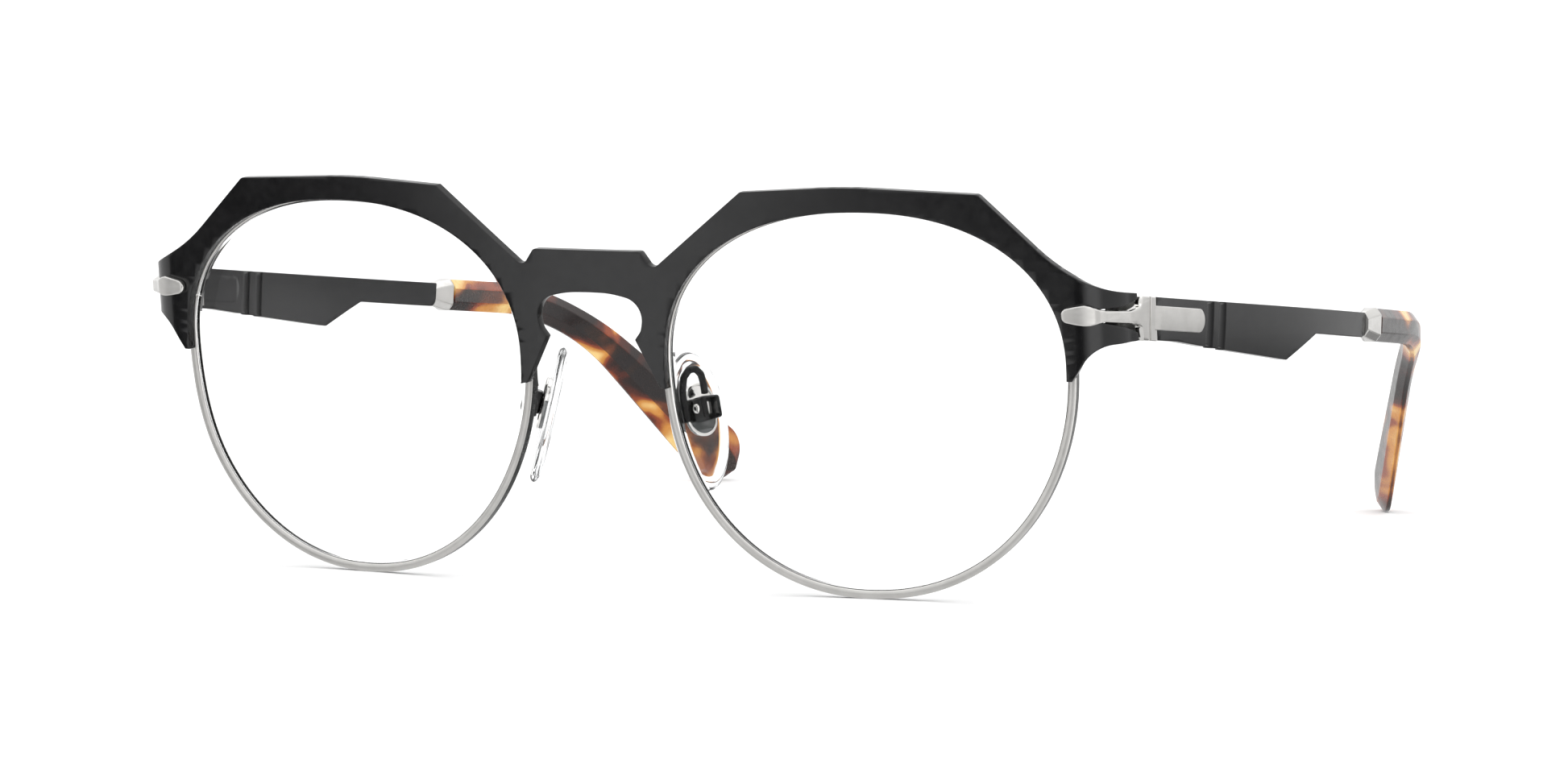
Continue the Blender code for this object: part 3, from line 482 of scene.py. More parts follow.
def sheet(outline, thickness, place, cuts, cross_cuts, bevel, paint, rounding=2):
    """A sheet with rounded edges over a flat outline, diced finely and placed point by point.

    place maps (a, b, share of the thickness) to a point. paint gives the material index of a
    face from its flat centre and normal.
    """
    curve = bpy.data.curves.new("outline", "CURVE")
    curve.dimensions = "2D"
    curve.fill_mode = "BOTH"
    curve.extrude = thickness / 2 - bevel
    curve.bevel_depth = bevel
    curve.bevel_resolution = rounding
    curve.offset = -bevel
    spline = curve.splines.new("POLY")
    spline.points.add(len(outline) - 1)
    for point, (a, b) in zip(spline.points, outline):
        point.co = (a, b, 0.0, 1.0)
    spline.use_cyclic_u = True
    bm = final_shape(in_scene("outline", curve))
    bmesh.ops.remove_doubles(bm, verts=bm.verts, dist=0.0005)
    for axis, places in (((1, 0, 0), cuts), ((0, 1, 0), cross_cuts)):
        for cut in places:
            geometry = bm.verts[:] + bm.edges[:] + bm.faces[:]
            spot = (cut, 0, 0) if axis[0] else (0, cut, 0)
            bmesh.ops.bisect_plane(bm, geom=geometry, dist=0.0001, plane_co=spot, plane_no=axis)
    bmesh.ops.recalc_face_normals(bm, faces=bm.faces)
    for face in bm.faces:
        face.material_index = paint(face.calc_center_median(), face.normal)
    bmesh.ops.triangulate(bm, faces=bm.faces)
    for vert in bm.verts:
        a, b, height = vert.co
        vert.co = place(a, b, height / thickness + 0.5)
    return bm


def lathe(base, axis, profile, sides=LATHE_SIDES):
    """A turned shape: profile is (radius, height) points from the axis back to it."""
    turn = Vector(axis).to_track_quat("Z", "Y").to_matrix()
    rows = []
    for radius, height in profile:
        spots = [(radius * math.cos(a), radius * math.sin(a), height) for a in circle(sides)]
        rows.append([Vector(base) + turn @ Vector(spot) for spot in spots])
    return skin(rows)


def rounded_box(size, bevel, segments):
    bm = bmesh.new()
    bmesh.ops.create_cube(bm, size=1.0)
    bmesh.ops.scale(bm, vec=size, verts=bm.verts)
    edges = bm.edges[:]
    bmesh.ops.bevel(
        bm, geom=edges, offset=bevel, segments=segments, profile=0.5, affect="EDGES"
    )
    return bm


def placed(bm, turn, centre):
    """bm turned by a rotation matrix and moved to centre."""
    bmesh.ops.transform(bm, matrix=Matrix.Translation(centre) @ turn.to_4x4(), verts=bm.verts)
    return bm


def joined(*parts):
    """One mesh from several finished meshes."""
    bm = bmesh.new()
    for part in parts:
        bm.from_mesh(part)
    return smooth_mesh(bm)


def cut_from(base, tool):
    """base with the tool cut out of it. The cut's faces get material index 1."""
    for face in tool.polygons:
        face.material_index = 1
    for mesh in (base, tool):
        # With two slots on both meshes, the Boolean keeps the material indices.
        mesh.materials.append(None)
        mesh.materials.append(None)
    holder, cutter = in_scene("base", base), in_scene("tool", tool)
    holder.modifiers.new("cut", "BOOLEAN").object = cutter
    result = evaluated(holder)
    bpy.data.objects.remove(holder)
    bpy.data.objects.remove(cutter)
    result.shade_smooth()
    return result


def add_piece(name, mesh, looks, body, nodes, slot, side=1):
    """A shown piece, mirrored if side is -1, that rides on body and stands for CAD nodes."""
    mesh = mesh.copy()
    mirror = Matrix.Scale(-1, 4, (1, 0, 0)) if side < 0 else Matrix.Identity(4)
    mesh.transform(TO_WORLD @ mirror)
    if side < 0:
        mesh.flip_normals()
    mesh.name = name
    while len(mesh.materials) < len(looks):
        mesh.materials.append(None)
    for i, look in enumerate(looks):
        mesh.materials[i] = look
    mesh.set_sharp_from_angle(angle=SHARP_ANGLE)
    obj = in_scene(name, mesh)
    obj.modifiers.new("weighted_normals", "WEIGHTED_NORMAL").keep_sharp = True
    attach(obj, body)
    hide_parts(*nodes)
    return obj


# ---------------- materials

# Most of a noise pattern's values lie between these two.
NOISE_RANGE = (0.3, 0.7)


def set_range(node, *values):
    """Sets a Map Range node's limits: from the first two, to the last two."""
    for socket, value in zip(("From Min", "From Max", "To Min", "To Max"), values):
        node.inputs[socket].default_value = value


class Look:
    """A Principled material, with the few node patterns that these parts need."""

    def __init__(self, name, colour, roughness, metallic=0.0, **sockets):
        self.material = bpy.data.materials.new(name)
        self.material.use_nodes = True
        self.tree = self.material.node_tree
        self.shader = self.tree.nodes["Principled BSDF"]
        self.put("Base Color", (*colour, 1.0))
        self.put("Roughness", roughness)
        self.put("Metallic", metallic)
        for socket, value in sockets.items():
            self.put(socket.replace("_", " "), value)
        self.spot = self.node("ShaderNodeTexCoord").outputs["Object"]

    def node(self, kind):
        return self.tree.nodes.new(kind)

    def put(self, socket, value):
        self.shader.inputs[socket].default_value = value

    def link(self, source, target):
        self.tree.links.new(source, target)

    def noise(self, scale, detail, stretch=(1, 1, 1), distortion=0.0, shift=0.0):
        """A noise pattern, scale cells to the metre, drawn out along axes of small stretch."""
        mapping = self.node("ShaderNodeMapping")
        mapping.inputs["Scale"].default_value = [scale * s for s in stretch]
        mapping.inputs["Location"].default_value = (shift, 0, 0)
        self.link(self.spot, mapping.inputs["Vector"])
        noise = self.node("ShaderNodeTexNoise")
        noise.inputs["Scale"].default_value = 1.0
        noise.inputs["Detail"].default_value = detail
        noise.inputs["Distortion"].default_value = distortion
        self.link(mapping.outputs["Vector"], noise.inputs["Vector"])
        return noise.outputs["Fac"]

    def colours(self, source, stops):
        """A colour ramp over source, from (position, colour) stops."""
        node = self.node("ShaderNodeValToRGB")
        node.color_ramp.interpolation = "EASE"
        elements = node.color_ramp.elements
        stops = tuple(stops)
        while len(elements) < len(stops):
            elements.new(0.5)
        for element, (position, colour) in zip(elements, stops):
            element.position = position
            element.color = (*colour, 1.0)
        self.link(source, node.inputs["Fac"])
        return node.outputs["Color"]

    def rough(self, source, low, high):
        node = self.node("ShaderNodeMapRange")
        set_range(node, *NOISE_RANGE, low, high)
        self.link(source, node.inputs["Value"])
        self.link(node.outputs["Result"], self.shader.inputs["Roughness"])
        return self

    def tint(self, source, low, high):
        stops = zip(NOISE_RANGE, (low, high))
        self.link(self.colours(source, stops), self.shader.inputs["Base Color"])
        return self

    def bump(self, source, height, strength):
        """Relief from source, height metres deep."""
        node = self.node("ShaderNodeBump")
        node.inputs["Strength"].default_value = strength
        node.inputs["Distance"].default_value = height
        self.link(source, node.inputs["Height"])
        self.link(node.outputs["Normal"], self.shader.inputs["Normal"])
        return self

    def let_lamps_through(self):
        """Clear to shadow rays, so that light reaches what lies behind the glass."""
        output = self.tree.nodes["Material Output"]
        mix = self.node("ShaderNodeMixShader")
        clear = self.node("ShaderNodeBsdfTransparent")
        path = self.node("ShaderNodeLightPath")
        self.link(path.outputs["Is Shadow Ray"], mix.inputs[0])
        self.link(self.shader.outputs[0], mix.inputs[1])
        self.link(clear.outputs[0], mix.inputs[2])
        self.link(mix.outputs[0], output.inputs["Surface"])
        return self


def coated_black(name, specular):
    look = Look(name, (0.004, 0.004, 0.0045), 0.18, Specular_IOR_Level=specular)
    look.tint(look.noise(260, 2), (0.0025, 0.0025, 0.003), (0.005, 0.005, 0.0055))
    look.rough(look.noise(900, 4), 0.15, 0.22)
    return look.bump(look.noise(9000, 2), 4e-6, 0.12).material


def polished_black():
    look = Look("polished_black_edge", (0.005, 0.005, 0.005), 0.14, Specular_IOR_Level=0.17)
    look.tint(look.noise(500, 2), (0.003, 0.003, 0.003), (0.007, 0.007, 0.007))
    return look.rough(look.noise(1500, 3), 0.1, 0.2).material


def satin_nickel():
    look = Look("satin_nickel", (0.60, 0.585, 0.56), 0.32, 1.0)
    look.tint(look.noise(350, 3), (0.61, 0.6, 0.58), (0.68, 0.67, 0.65))
    look.rough(look.noise(5000, 2, stretch=(0.06, 0.06, 1)), 0.36, 0.44)
    return look.bump(look.noise(16000, 2, stretch=(0.05, 0.05, 1)), 1.5e-6, 0.2).material


def polished_nickel():
    look = Look("polished_nickel", (0.72, 0.71, 0.69), 0.1, 1.0)
    look.tint(look.noise(700, 2), (0.68, 0.67, 0.65), (0.76, 0.75, 0.73))
    return look.rough(look.noise(2500, 3), 0.07, 0.16).material


# Dark metal for the rim's outer wall and back; on the inner wall and groove this dark colour is
# painted shade.
def dark_rim_side_and_shade():
    look = Look("dark_rim_side_and_painted_groove_shade", (0.035, 0.036, 0.036), 0.22, 0.6)
    look.tint(look.noise(420, 2), (0.025, 0.026, 0.026), (0.05, 0.051, 0.05))
    return look.rough(look.noise(1800, 3), 0.16, 0.3).material


# Dark copy of the polished nickel for the lower part of the pad insert: painted shade standing in
# for a dark reflection.
def insert_painted_shade():
    look = Look("insert_painted_shade", (0.16, 0.165, 0.165), 0.14, 1.0)
    look.tint(look.noise(900, 2), (0.12, 0.125, 0.125), (0.21, 0.215, 0.215))
    return look.rough(look.noise(3000, 2), 0.1, 0.22).material


def dull_steel():
    look = Look("satin_steel", (0.38, 0.38, 0.375), 0.35, 1.0)
    look.tint(look.noise(600, 3), (0.33, 0.33, 0.325), (0.43, 0.43, 0.42))
    look.rough(look.noise(4000, 3), 0.28, 0.45)
    return look.bump(look.noise(9000, 3), 2e-6, 0.2).material


def lens_glass():
    look = Look("clear_lens", (1.0, 1.0, 1.0), 0.0, Transmission_Weight=1.0, IOR=1.12)
    look.rough(look.noise(300, 2), 0.0, 0.012)
    return look.let_lamps_through().material


def clear_silicone():
    look = Look("clear_silicone", (0.985, 0.99, 0.995), 0.04, Transmission_Weight=1.0, IOR=1.42)
    look.rough(look.noise(700, 3), 0.02, 0.07)
    look.bump(look.noise(1200, 2), 1e-5, 0.15)
    return look.let_lamps_through().material


def tortoiseshell(name, stops, gloss):
    look = Look(name, (0.1, 0.03, 0.01), 0.3, Coat_Weight=0.5, Specular_IOR_Level=0.3)
    look.put("Coat Roughness", gloss)
    blotches = look.noise(115, 1.6, stretch=(1.0, 0.7, 1.0), distortion=0.7, shift=8.8)
    look.link(look.colours(blotches, stops), look.shader.inputs["Base Color"])
    return look.rough(look.noise(900, 2), 0.22, 0.34).material


HAVANA_STOPS = (
    (0.42, (0.012, 0.004, 0.003)),
    (0.49, (0.07, 0.011, 0.004)),
    (0.54, (0.26, 0.045, 0.008)),
    (0.59, (0.58, 0.24, 0.04)),
    (0.67, (0.84, 0.58, 0.22)),
)
DARK_STOPS = (
    (0.42, (0.010, 0.006, 0.006)),
    (0.50, (0.022, 0.009, 0.005)),
    (0.56, (0.11, 0.026, 0.007)),
    (0.63, (0.42, 0.16, 0.030)),
    (0.71, (0.66, 0.38, 0.10)),
)

BLACK = coated_black("satin_black_coating", 0.5)
TEMPLE_BLACK = coated_black("satin_black_temple", 0.22)
BLACK_EDGE = polished_black()
NICKEL = satin_nickel()
BRIGHT = polished_nickel()
RIM_DARK_SIDE_AND_SHADE = dark_rim_side_and_shade()
INSERT_PAINTED_SHADE = insert_painted_shade()
STEEL = dull_steel()
GLASS = lens_glass()
SILICONE = clear_silicone()
HAVANA = tortoiseshell("tortoiseshell_acetate", HAVANA_STOPS, 0.03)
HAVANA_FLAT = tortoiseshell("tortoiseshell_acetate_flat", DARK_STOPS, 0.12)


# ---------------- front plate


def edge_paint(_, normal):
    """1 for the sheet's side walls, 0 for its faces and rounded edges."""
    return 1 if abs(normal.z) < WALL_NORMAL else 0


def bright_edge(_, normal):
    """1 for the side walls and the rounded edges, 0 for the faces."""
    return 1 if abs(normal.z) < FLAT_NORMAL else 0


# Corners (x, z, radius) of the wearer's left half: over the brow, under the end-piece, and up
# the inner leg and round the keyhole.
PLATE_TOP = (
    (0.0, 4.45, 0),
    (7.45, 4.45, 0.6),
    (9.05, 2.2, 0.9),
    (21.2, 12.05, 0.3),
    (34.5, 12.75, 75),
    (51.5, 11.85, 0.8),
    (63.1, 0.8, 22),
    (PLATE_END, -1.0, 0),
)
PLATE_UNDER = ((PLATE_END, -6.85, 0), (65.4, -6.7, 4.6), (62.35, OUTER_LEG_Z, 0))
PLATE_INNER_LEG = (
    (10.35, INNER_LEG_Z, 0),
    (9.35, INNER_LEG_Z, 0.2),
    (6.2, -6.65, 0.15),
    (7.05, -5.55, 1.6),
    (7.75, -2.0, 2.8),
    (3.0, -0.9, 14),
    (0.0, -0.85, 0),
)


def half_plate_outline():
    slot = [(s, strap_z(s) + half) for s, half in SLOT_HALF_HEIGHTS[::-1]]
    slot += [(s, strap_z(s) - half) for s, half in SLOT_HALF_HEIGHTS]
    first = lens_angle(INNER_LEG_Z, PLATE_REVEAL, temporal=False)
    last = lens_angle(OUTER_LEG_Z, PLATE_REVEAL, temporal=True)
    angles = [last + (first - last) * k / ARCH_STEPS for k in range(ARCH_STEPS + 1)]
    arch = [lens_point(angle, PLATE_REVEAL) for angle in angles]
    return rounded(PLATE_TOP) + slot + rounded(PLATE_UNDER) + arch + rounded(PLATE_INNER_LEG)


def front_plate():
    half = half_plate_outline()
    outline = half + [(-x, z) for x, z in half[-2:0:-1]]
    cuts = strips(1.5, BEND_START, 1.5) + strips(BEND_START + 0.35, PLATE_END - 0.2, 0.35)
    cuts = [0.0] + cuts + [-cut for cut in cuts]

    def place(s, z, depth):
        flare = LIP * ramp(abs(s), PLATE_END - LIP_LENGTH, PLATE_END)
        return wrap(s, z, depth * PLATE_THICKNESS - flare)

    bm = sheet(
        outline, PLATE_THICKNESS, place, cuts, strips(-12, 12, 1.5), PLATE_BEVEL, edge_paint
    )
    return finished(bm)


# ---------------- rims and lenses


def rim():
    """The wire, split at its side: satin front, bright chamfers, a dark outer wall and back, and
    painted shade as dark colour on the inner wall and groove.
    """
    front, back = RIM_FRONT, RIM_FRONT + RIM_DEPTH
    width, edge, rear = RIM_WIDTH, RIM_INNER_CHAMFER, RIM_BACK_CHAMFER
    # (outward, back, material index of the strip that follows) round the wire's section.
    section = [
        (edge, front, 0),
        (width / 2, front - 0.03, 0),
        (width - 0.06, front, 1),
        (width - 0.02, front + 0.03, 2),
        (width, front + 0.08, 2),
        (width, back - rear, 2),
        (width - rear, back, 2),
        (rear, back, 1),
        (0.0, back - rear, 1),
        # Index 2 from here round to the front chamfer paints shade on the inner wall and groove.
        (0.0, back - 2 * rear, 2),
        (RIM_GROOVE, back - RIM_DEPTH / 2, 2),
        (0.0, front + 2 * rear + edge, 2),
        (0.0, front + edge, 1),
    ]
    half_split = RIM_SPLIT / 2 / LENS_HALF_WIDTH
    split = lens_angle(RIM_SPLIT_Z, width / 2, temporal=True)
    first, last = split + half_split, split + 2 * math.pi - half_split
    rows = []
    for k in range(RIM_STEPS + 1):
        angle = first + (last - first) * k / RIM_STEPS
        row = []
        for offset, depth, _ in section:
            x, z = lens_point(angle, offset)
            row.append(wrap(x, z, depth - rim_lean(z)))
        rows.append(row)
    return finished(skin(rows, paint=[index for _, _, index in section]))


def lens():
    """A thin meniscus with a bevelled edge that sits in the rim's groove."""
    middle = RIM_FRONT + RIM_DEPTH / 2
    half = LENS_THICKNESS / 2
    face, edge = LENS_FACE_REACH, LENS_EDGE_REACH
    shares = [0.02, 0.1, 0.2, 0.3, 0.4, 0.5, 0.6, 0.7, 0.8, 0.88, 0.94, 0.98]
    # (share of the way out from the centre, offset of the outline, depth) from front to back.
    rings = [(share, face, -half) for share in shares] + [(1.0, -0.19, -half)]
    rings += [(1.0, -0.11, -half + 0.08), (1.0, edge, -0.1), (1.0, edge, 0.1)]
    rings += [(1.0, face, half)] + [(share, face, half) for share in shares[::-1]]
    rows = []
    for share, offset, depth in rings:
        row = []
        for angle in circle(LENS_SIDES):
            x, z = lens_point(angle, offset)
            x = LENS_CENTRE[0] + (x - LENS_CENTRE[0]) * share
            z = LENS_CENTRE[1] + (z - LENS_CENTRE[1]) * share
            row.append(wrap(x, z, middle + depth - LENS_BULGE * (1 - share**2) - rim_lean(z)))
        rows.append(row)
    return finished(skin(rows))


# ---------------- strap and hinge


def strap_edge(sign):
    """The strap's upper edge, or its lower one if sign is -1, from the nose to the block."""
    start = wrapped_length(BLOCK_FRONT_Y)
    block_half = sign * (block_z(BLOCK_FRONT_Y, sign * BLOCK_HALF_HEIGHT) - strap_z(start))
    corners = rounded(
        [
            (62.4, 0.95, 0),
            (63.4, 1.16, 0.8),
            (64.3, 1.3, 0.8),
            (64.9, 1.22, 0.6),
            (65.9, 0.86, 0.8),
            (66.8, 0.7, 1.0),
            (69.7, 0.76, 1.0),
            (start - 0.25, 1.35, 0.5),
            (start + 0.02, block_half - 0.4, 0),
        ]
    )
    return [(s, strap_z(s) + sign * half) for s, half in corners]


def strap_outline():
    """The tongue, its neck and the front half of the hinge block, flat on the front's face."""
    front = wrapped_length(BLOCK_FRONT_Y) + 0.25
    block = [(front, block_z(BLOCK_FRONT_Y + 0.25, BLOCK_HALF_HEIGHT))]
    for half in (BLOCK_HALF_HEIGHT, -BLOCK_HALF_HEIGHT):
        y, z = seam_point(half, -1)
        block.append((wrapped_length(y), z))
    block.append((front, block_z(BLOCK_FRONT_Y + 0.25, -BLOCK_HALF_HEIGHT)))
    nose = []
    for k in range(1, END_STEPS):
        angle = math.pi * (1.5 - k / END_STEPS)
        s = STRAP_START + STRAP_NOSE_RADIUS * (1 + math.cos(angle))
        nose.append((s, STRAP_Z + STRAP_NOSE_RADIUS * math.sin(angle)))
    return strap_edge(1) + block + strap_edge(-1)[::-1] + nose


def hinge_strap():
    flat = wrapped_length(BLOCK_FRONT_Y)
    straight = BLOCK_OUTER_X - wrap(flat, 0, 0).x
    thickness = BLOCK_OUTER_X - BLOCK_INNER_X

    def place(s, z, depth):
        """The tongue lies on the plate, dips into the slot and rises to the block's face."""
        dip = STRAP_DIP * ramp(s, *STRAP_DIP_REACH)
        rise = min(max((s - STRAP_RISE) / (STRAP_FACE - STRAP_RISE), 0.0), 1.0) ** 2
        outer = -STRAP_PROUD + dip - (straight - 0.25) * rise
        inner = -0.05 + dip * (1 - rise) - (straight - thickness - 0.05) * rise
        return wrap(s, z, outer + (inner - outer) * depth)

    def paint(centre, normal):
        """Bright edges and a bright neck."""
        return 1 if 66.0 < centre.x < STRAP_FACE else bright_edge(centre, normal)

    cuts = strips(62.0, 65.0, 0.5) + strips(65.15, 72.0, 0.15)
    heights = strips(-7, -1, 0.5)
    bm = sheet(strap_outline(), STRAP_THICKNESS, place, cuts, heights, 0.16, paint, 1)
    return finished(bm)


def tube(base, top, outer, inner):
    """A chamfered barrel with a bore."""
    height = (Vector(top) - Vector(base)).length
    edge = BARREL_CHAMFER
    profile = [
        (inner, 0.02),
        (outer - edge, 0.0),
        (outer, edge),
        (outer, height - edge),
        (outer - edge, height),
        (inner, height - 0.02),
        (inner, 0.02),
    ]
    bm = lathe(base, Vector(top) - Vector(base), profile)
    caps = [face for face in bm.faces if len(face.verts) > 4]
    bmesh.ops.delete(bm, geom=caps, context="FACES")
    return finished(bm)


def tongue(start, half):
    """Outline of a strip along the temple with a rounded end."""
    centre = PLAQUE_END - half
    points = [(start, PLAQUE_V + half)]
    for k in range(TONGUE_STEPS + 1):
        angle = math.pi * (0.5 - k / TONGUE_STEPS)
        points.append((centre + half * math.cos(angle), PLAQUE_V + half * math.sin(angle)))
    return points + [(start, PLAQUE_V - half)]


def temple_block():
    """Rear half of the hinge block, its plaque along the temple, and the middle knuckle."""
    inner = HINGE_POINT.x + BARREL_RADIUS + 0.35
    tall = BLOCK_HALF_HEIGHT
    outline = [seam_point(tall, 1), (BLOCK_BACK_Y, block_z(BLOCK_BACK_Y, tall))]
    outline += [(BLOCK_BACK_Y, block_z(BLOCK_BACK_Y, -tall)), seam_point(-tall, 1)]
    depth = BLOCK_OUTER_X - inner

    def on_block(y, z, share):
        v = z - HINGE_POINT.z + (y - HINGE_POINT.y) * math.tan(TEMPLE_SLOPE)
        return Vector((BLOCK_OUTER_X - CROWN * v * v - depth * share, y, z))

    block = finished(sheet(outline, depth, on_block, [], [], 0.12, bright_edge, 1))
    border = tongue(PLAQUE_START, PLAQUE_HALF_HEIGHT)

    def on_temple(u, v, share):
        fade = ramp(u, PLAQUE_START, PLAQUE_START + 2)
        crown = PLAQUE_CROWN * (1 - ((v - PLAQUE_V) / PLAQUE_HALF_HEIGHT) ** 2) * fade
        proud = -0.06 + (PLAQUE_PROUD + 0.06) * fade
        x = temple_x(u) + proud + (-PLAQUE_INSET - proud) * share + crown * (1 - share)
        return temple_point(x - CROWN * v * v, u, v)

    cuts, heights = strips(1.5, 15.5, 0.5), strips(-1.2, 1.5, 0.3)
    plaque = finished(sheet(border, 0.6, on_temple, cuts, heights, 0.1, bright_edge, 1))
    third = KNUCKLE_REACH / 3
    barrel = tube(hinge_axis(-third + 0.15), hinge_axis(third - 0.15), BARREL_RADIUS, BARREL_BORE)
    web = rounded_box((BARREL_RADIUS + 0.5, 0.85, 2 * third - 0.4), 0.06, 2)
    turn = Matrix.Rotation(-HINGE_TILT, 3, "X")
    spot = hinge_axis(0) + turn @ Vector((BARREL_RADIUS / 2 + 0.35, SEAM + 0.43, 0))
    return joined(block, plaque, barrel, finished(placed(web, turn, spot)))


def screw(base, axis, radius, height, shank, length, socket):
    """A screw whose domed head, radius wide and height tall, stands on base.

    shank is the radius below the head. The socket, "slot" or "hex", is cut in the head.
    """
    axis = Vector(axis).normalized()
    profile = [
        (shank * 0.8, -length),
        (shank, -length + 0.1),
        (shank, 0.0),
        (radius * 0.94, 0.0),
        (radius, height * 0.15),
        (radius, height * 0.55),
        (radius * 0.9, height * 0.85),
        (radius * 0.7, height),
    ]
    body = finished(lathe(base, axis, profile, SCREW_SIDES))
    turn = axis.to_track_quat("Z", "Y").to_matrix()
    if socket == "slot":
        tool = rounded_box((radius * 3, radius * 0.3, height), 0.01, 1)
        placed(tool, turn, Vector(base) + axis * height * 1.05)
    else:
        floor = Vector(base) + axis * height * 0.3
        tool = lathe(floor, axis, [(radius * 0.5, 0), (radius * 0.5, 2)], 6)
    return cut_from(body, finished(tool))


# ---------------- temple


def flex(u):
    """Depth of the two flex grooves, cut in both faces."""
    near = min(abs(u - groove) for groove in GROOVES) / GROOVE_HALF
    return FLEX_DEPTH * math.sqrt(1 - near * near) if near < 1 else 0.0


# Corners (u, v, radius) of the temple, with its fin below.
TEMPLE_OUTLINE = (
    (temple_start(2.7), 2.7, 0),
    (40.0, 2.73, 0),
    (ARM_END, 2.75, 0.25),
    (ARM_END, -0.55, 1.2),
    (ARM_END - 2.6, -0.55, 0),
    (51.8, -0.5, 1.0),
    (42.0, -4.1, 0.6),
    (18.5, -3.1, 12),
    (9.0, -2.6, 10),
    (temple_start(-2.6), -2.6, 0),
)


def temple_arm():
    """The flat temple with its flex grooves, and a thin raised panel on its inside."""

    def place(u, v, share):
        cut = flex(u)
        thickness = TEMPLE_THICKNESS - 2 * cut
        v -= math.copysign(min(cut, abs(v)), v)
        x = temple_x(u) - cut - CROWN * v * v
        return temple_point(x - thickness * share, u, v)

    cuts = strips(3.5, 70.0, 1.75)
    for groove in GROOVES:
        cuts += strips(groove - GROOVE_HALF * 0.999, groove + GROOVE_HALF * 0.999, 0.1)
    heights = strips(-4, 2.5, 0.75)
    border = rounded(TEMPLE_OUTLINE)
    arm = sheet(border, TEMPLE_THICKNESS, place, sorted(cuts), heights, 0.1, edge_paint)

    def on_inside(u, v, share):
        x = temple_x(u) - CROWN * v * v - TEMPLE_THICKNESS
        return temple_point(x + PANEL_SUNK - PANEL_DEPTH * share, u, v)

    panel_border = tongue(PANEL_START, PANEL_HALF_HEIGHT)
    panel = sheet(panel_border, PANEL_DEPTH, on_inside, strips(4, 15, 1), [], 0.06, edge_paint, 1)
    return joined(finished(arm), finished(panel))


def tip_section(station, height, thickness, drop, inset):
    """A bar's section with broad chamfers, drop tall and inset deep, and softened corners."""
    point, _, up, out = station
    h, t = height / 2, thickness / 2
    drop, inset = min(drop, h * 0.6), min(inset, t * 0.7)
    corners = [
        (t, h - drop),
        (t - inset, h),
        (inset - t, h),
        (-t, h - drop),
        (-t, drop - h),
        (inset - t, -h),
        (t - inset, -h),
        (t, drop - h),
    ]
    points = []
    soft = min(0.12, h * 0.12, t * 0.12)
    for i, corner in enumerate(corners):
        here = Vector(corner)
        before = (Vector(corners[i - 1]) - here).normalized()
        after = (Vector(corners[(i + 1) % SECTION_CORNERS]) - here).normalized()
        inward = (before + after) * soft * 0.3
        points += [here + before * soft, here + inward, here + after * soft]
    return [point + out * a + up * b for a, b in points]


def tip_paint():
    """Flat sides darker than the chamfers: columns of a section, three to a corner."""
    return [1 if column % 6 == 5 else 0 for column in range(SECTION_COLUMNS)]


def temple_tip():
    """The tip: a chamfered bar that widens, thins, turns down and inwards, and ends rounded."""
    low, high = TIP_HEIGHT
    thick, thin = TIP_THICKNESS
    distances = strips(0.0, TIP_LENGTH - TIP_END_RADIUS, 1.0)
    shares = [1.0] * len(distances)
    for k in range(1, END_STEPS + 1):
        angle = math.pi / 2 * k / END_STEPS
        distances.append(TIP_LENGTH - TIP_END_RADIUS * (1 - math.sin(angle)))
        shares.append(max(math.cos(angle), TIP_END_SHARE))
    rows = []
    for s, share, station in zip(distances, shares, tip_path(distances)):
        height = low + (high - low) * ramp(s, *TIP_WIDENING)
        thickness = thick + (thin - thick) * ramp(s, *TIP_THINNING)
        drop = TIP_CHAMFER_SHARE * height
        height *= share
        thickness *= 0.6 + 0.4 * share
        rows.append(tip_section(station, height, thickness, drop, TIP_CHAMFER_INSET))
    return finished(skin(rows, paint=tip_paint()))


def ferrule():
    """The collar between temple and tip."""
    # (distance along the tip, height, thickness)
    stations = ((-3.9, 3.1, 1.5), (-3.75, 3.35, 1.75), (-2.6, 3.8, 2.1), (-0.9, 4.5, 3.0))
    stations += ((-0.45, 4.5, 3.0), (-0.3, 4.3, 2.8))
    base, forward, up, out = tip_path()[0]
    rows = []
    for s, height, thickness in stations:
        station = (base + forward * s, forward, up, out)
        rows.append(tip_section(station, height, thickness, 0.9, 0.7))
    paint = [0] * SECTION_COLUMNS
    for column in (5, 8, 14, 17, 20, 23):
        paint[column] = 1
    return finished(skin(rows, paint=paint))


# ---------------- nose pads


def nose_pad():
    """An oval pad, a little wider above its middle, with a raised rim round the insert's side."""
    half = PAD_THICKNESS / 2
    # (share of the way out from the centre, share of half the thickness), nose side first.
    profile = [(0.03, -0.98), (0.3, -0.98), (0.55, -0.97), (0.72, -0.95), (0.82, -0.9)]
    profile += [(0.9, -0.78), (0.96, -0.5), (0.99, -0.2), (1.0, 0.05), (0.99, 0.3)]
    profile += [(0.97, 0.55), (0.94, 0.72), (0.9, 0.78), (0.86, 0.72), (0.84, 0.64)]
    profile += [(0.8, 0.62), (0.55, 0.6), (0.3, 0.6), (0.03, 0.6)]
    rows = []
    for share, out in profile:
        row = []
        for angle in circle(PAD_SIDES):
            up = math.sin(angle)
            width = PAD_WIDTH / 2 * (1 + 0.03 * up)
            across = width * math.cos(angle) * share
            row.append(pad_point(across, out * half, PAD_LENGTH / 2 * up * share))
        rows.append(row)
    return finished(skin(rows))


def oval(width, length):
    """Two half circles joined by straight sides, longer upwards."""
    radius, straight = width / 2, (length - width) / 2
    points = []
    for angle in circle(OVAL_SIDES, 0.5):
        lift = math.copysign(straight, math.sin(angle))
        points.append((radius * math.cos(angle), radius * math.sin(angle) + lift))
    return points


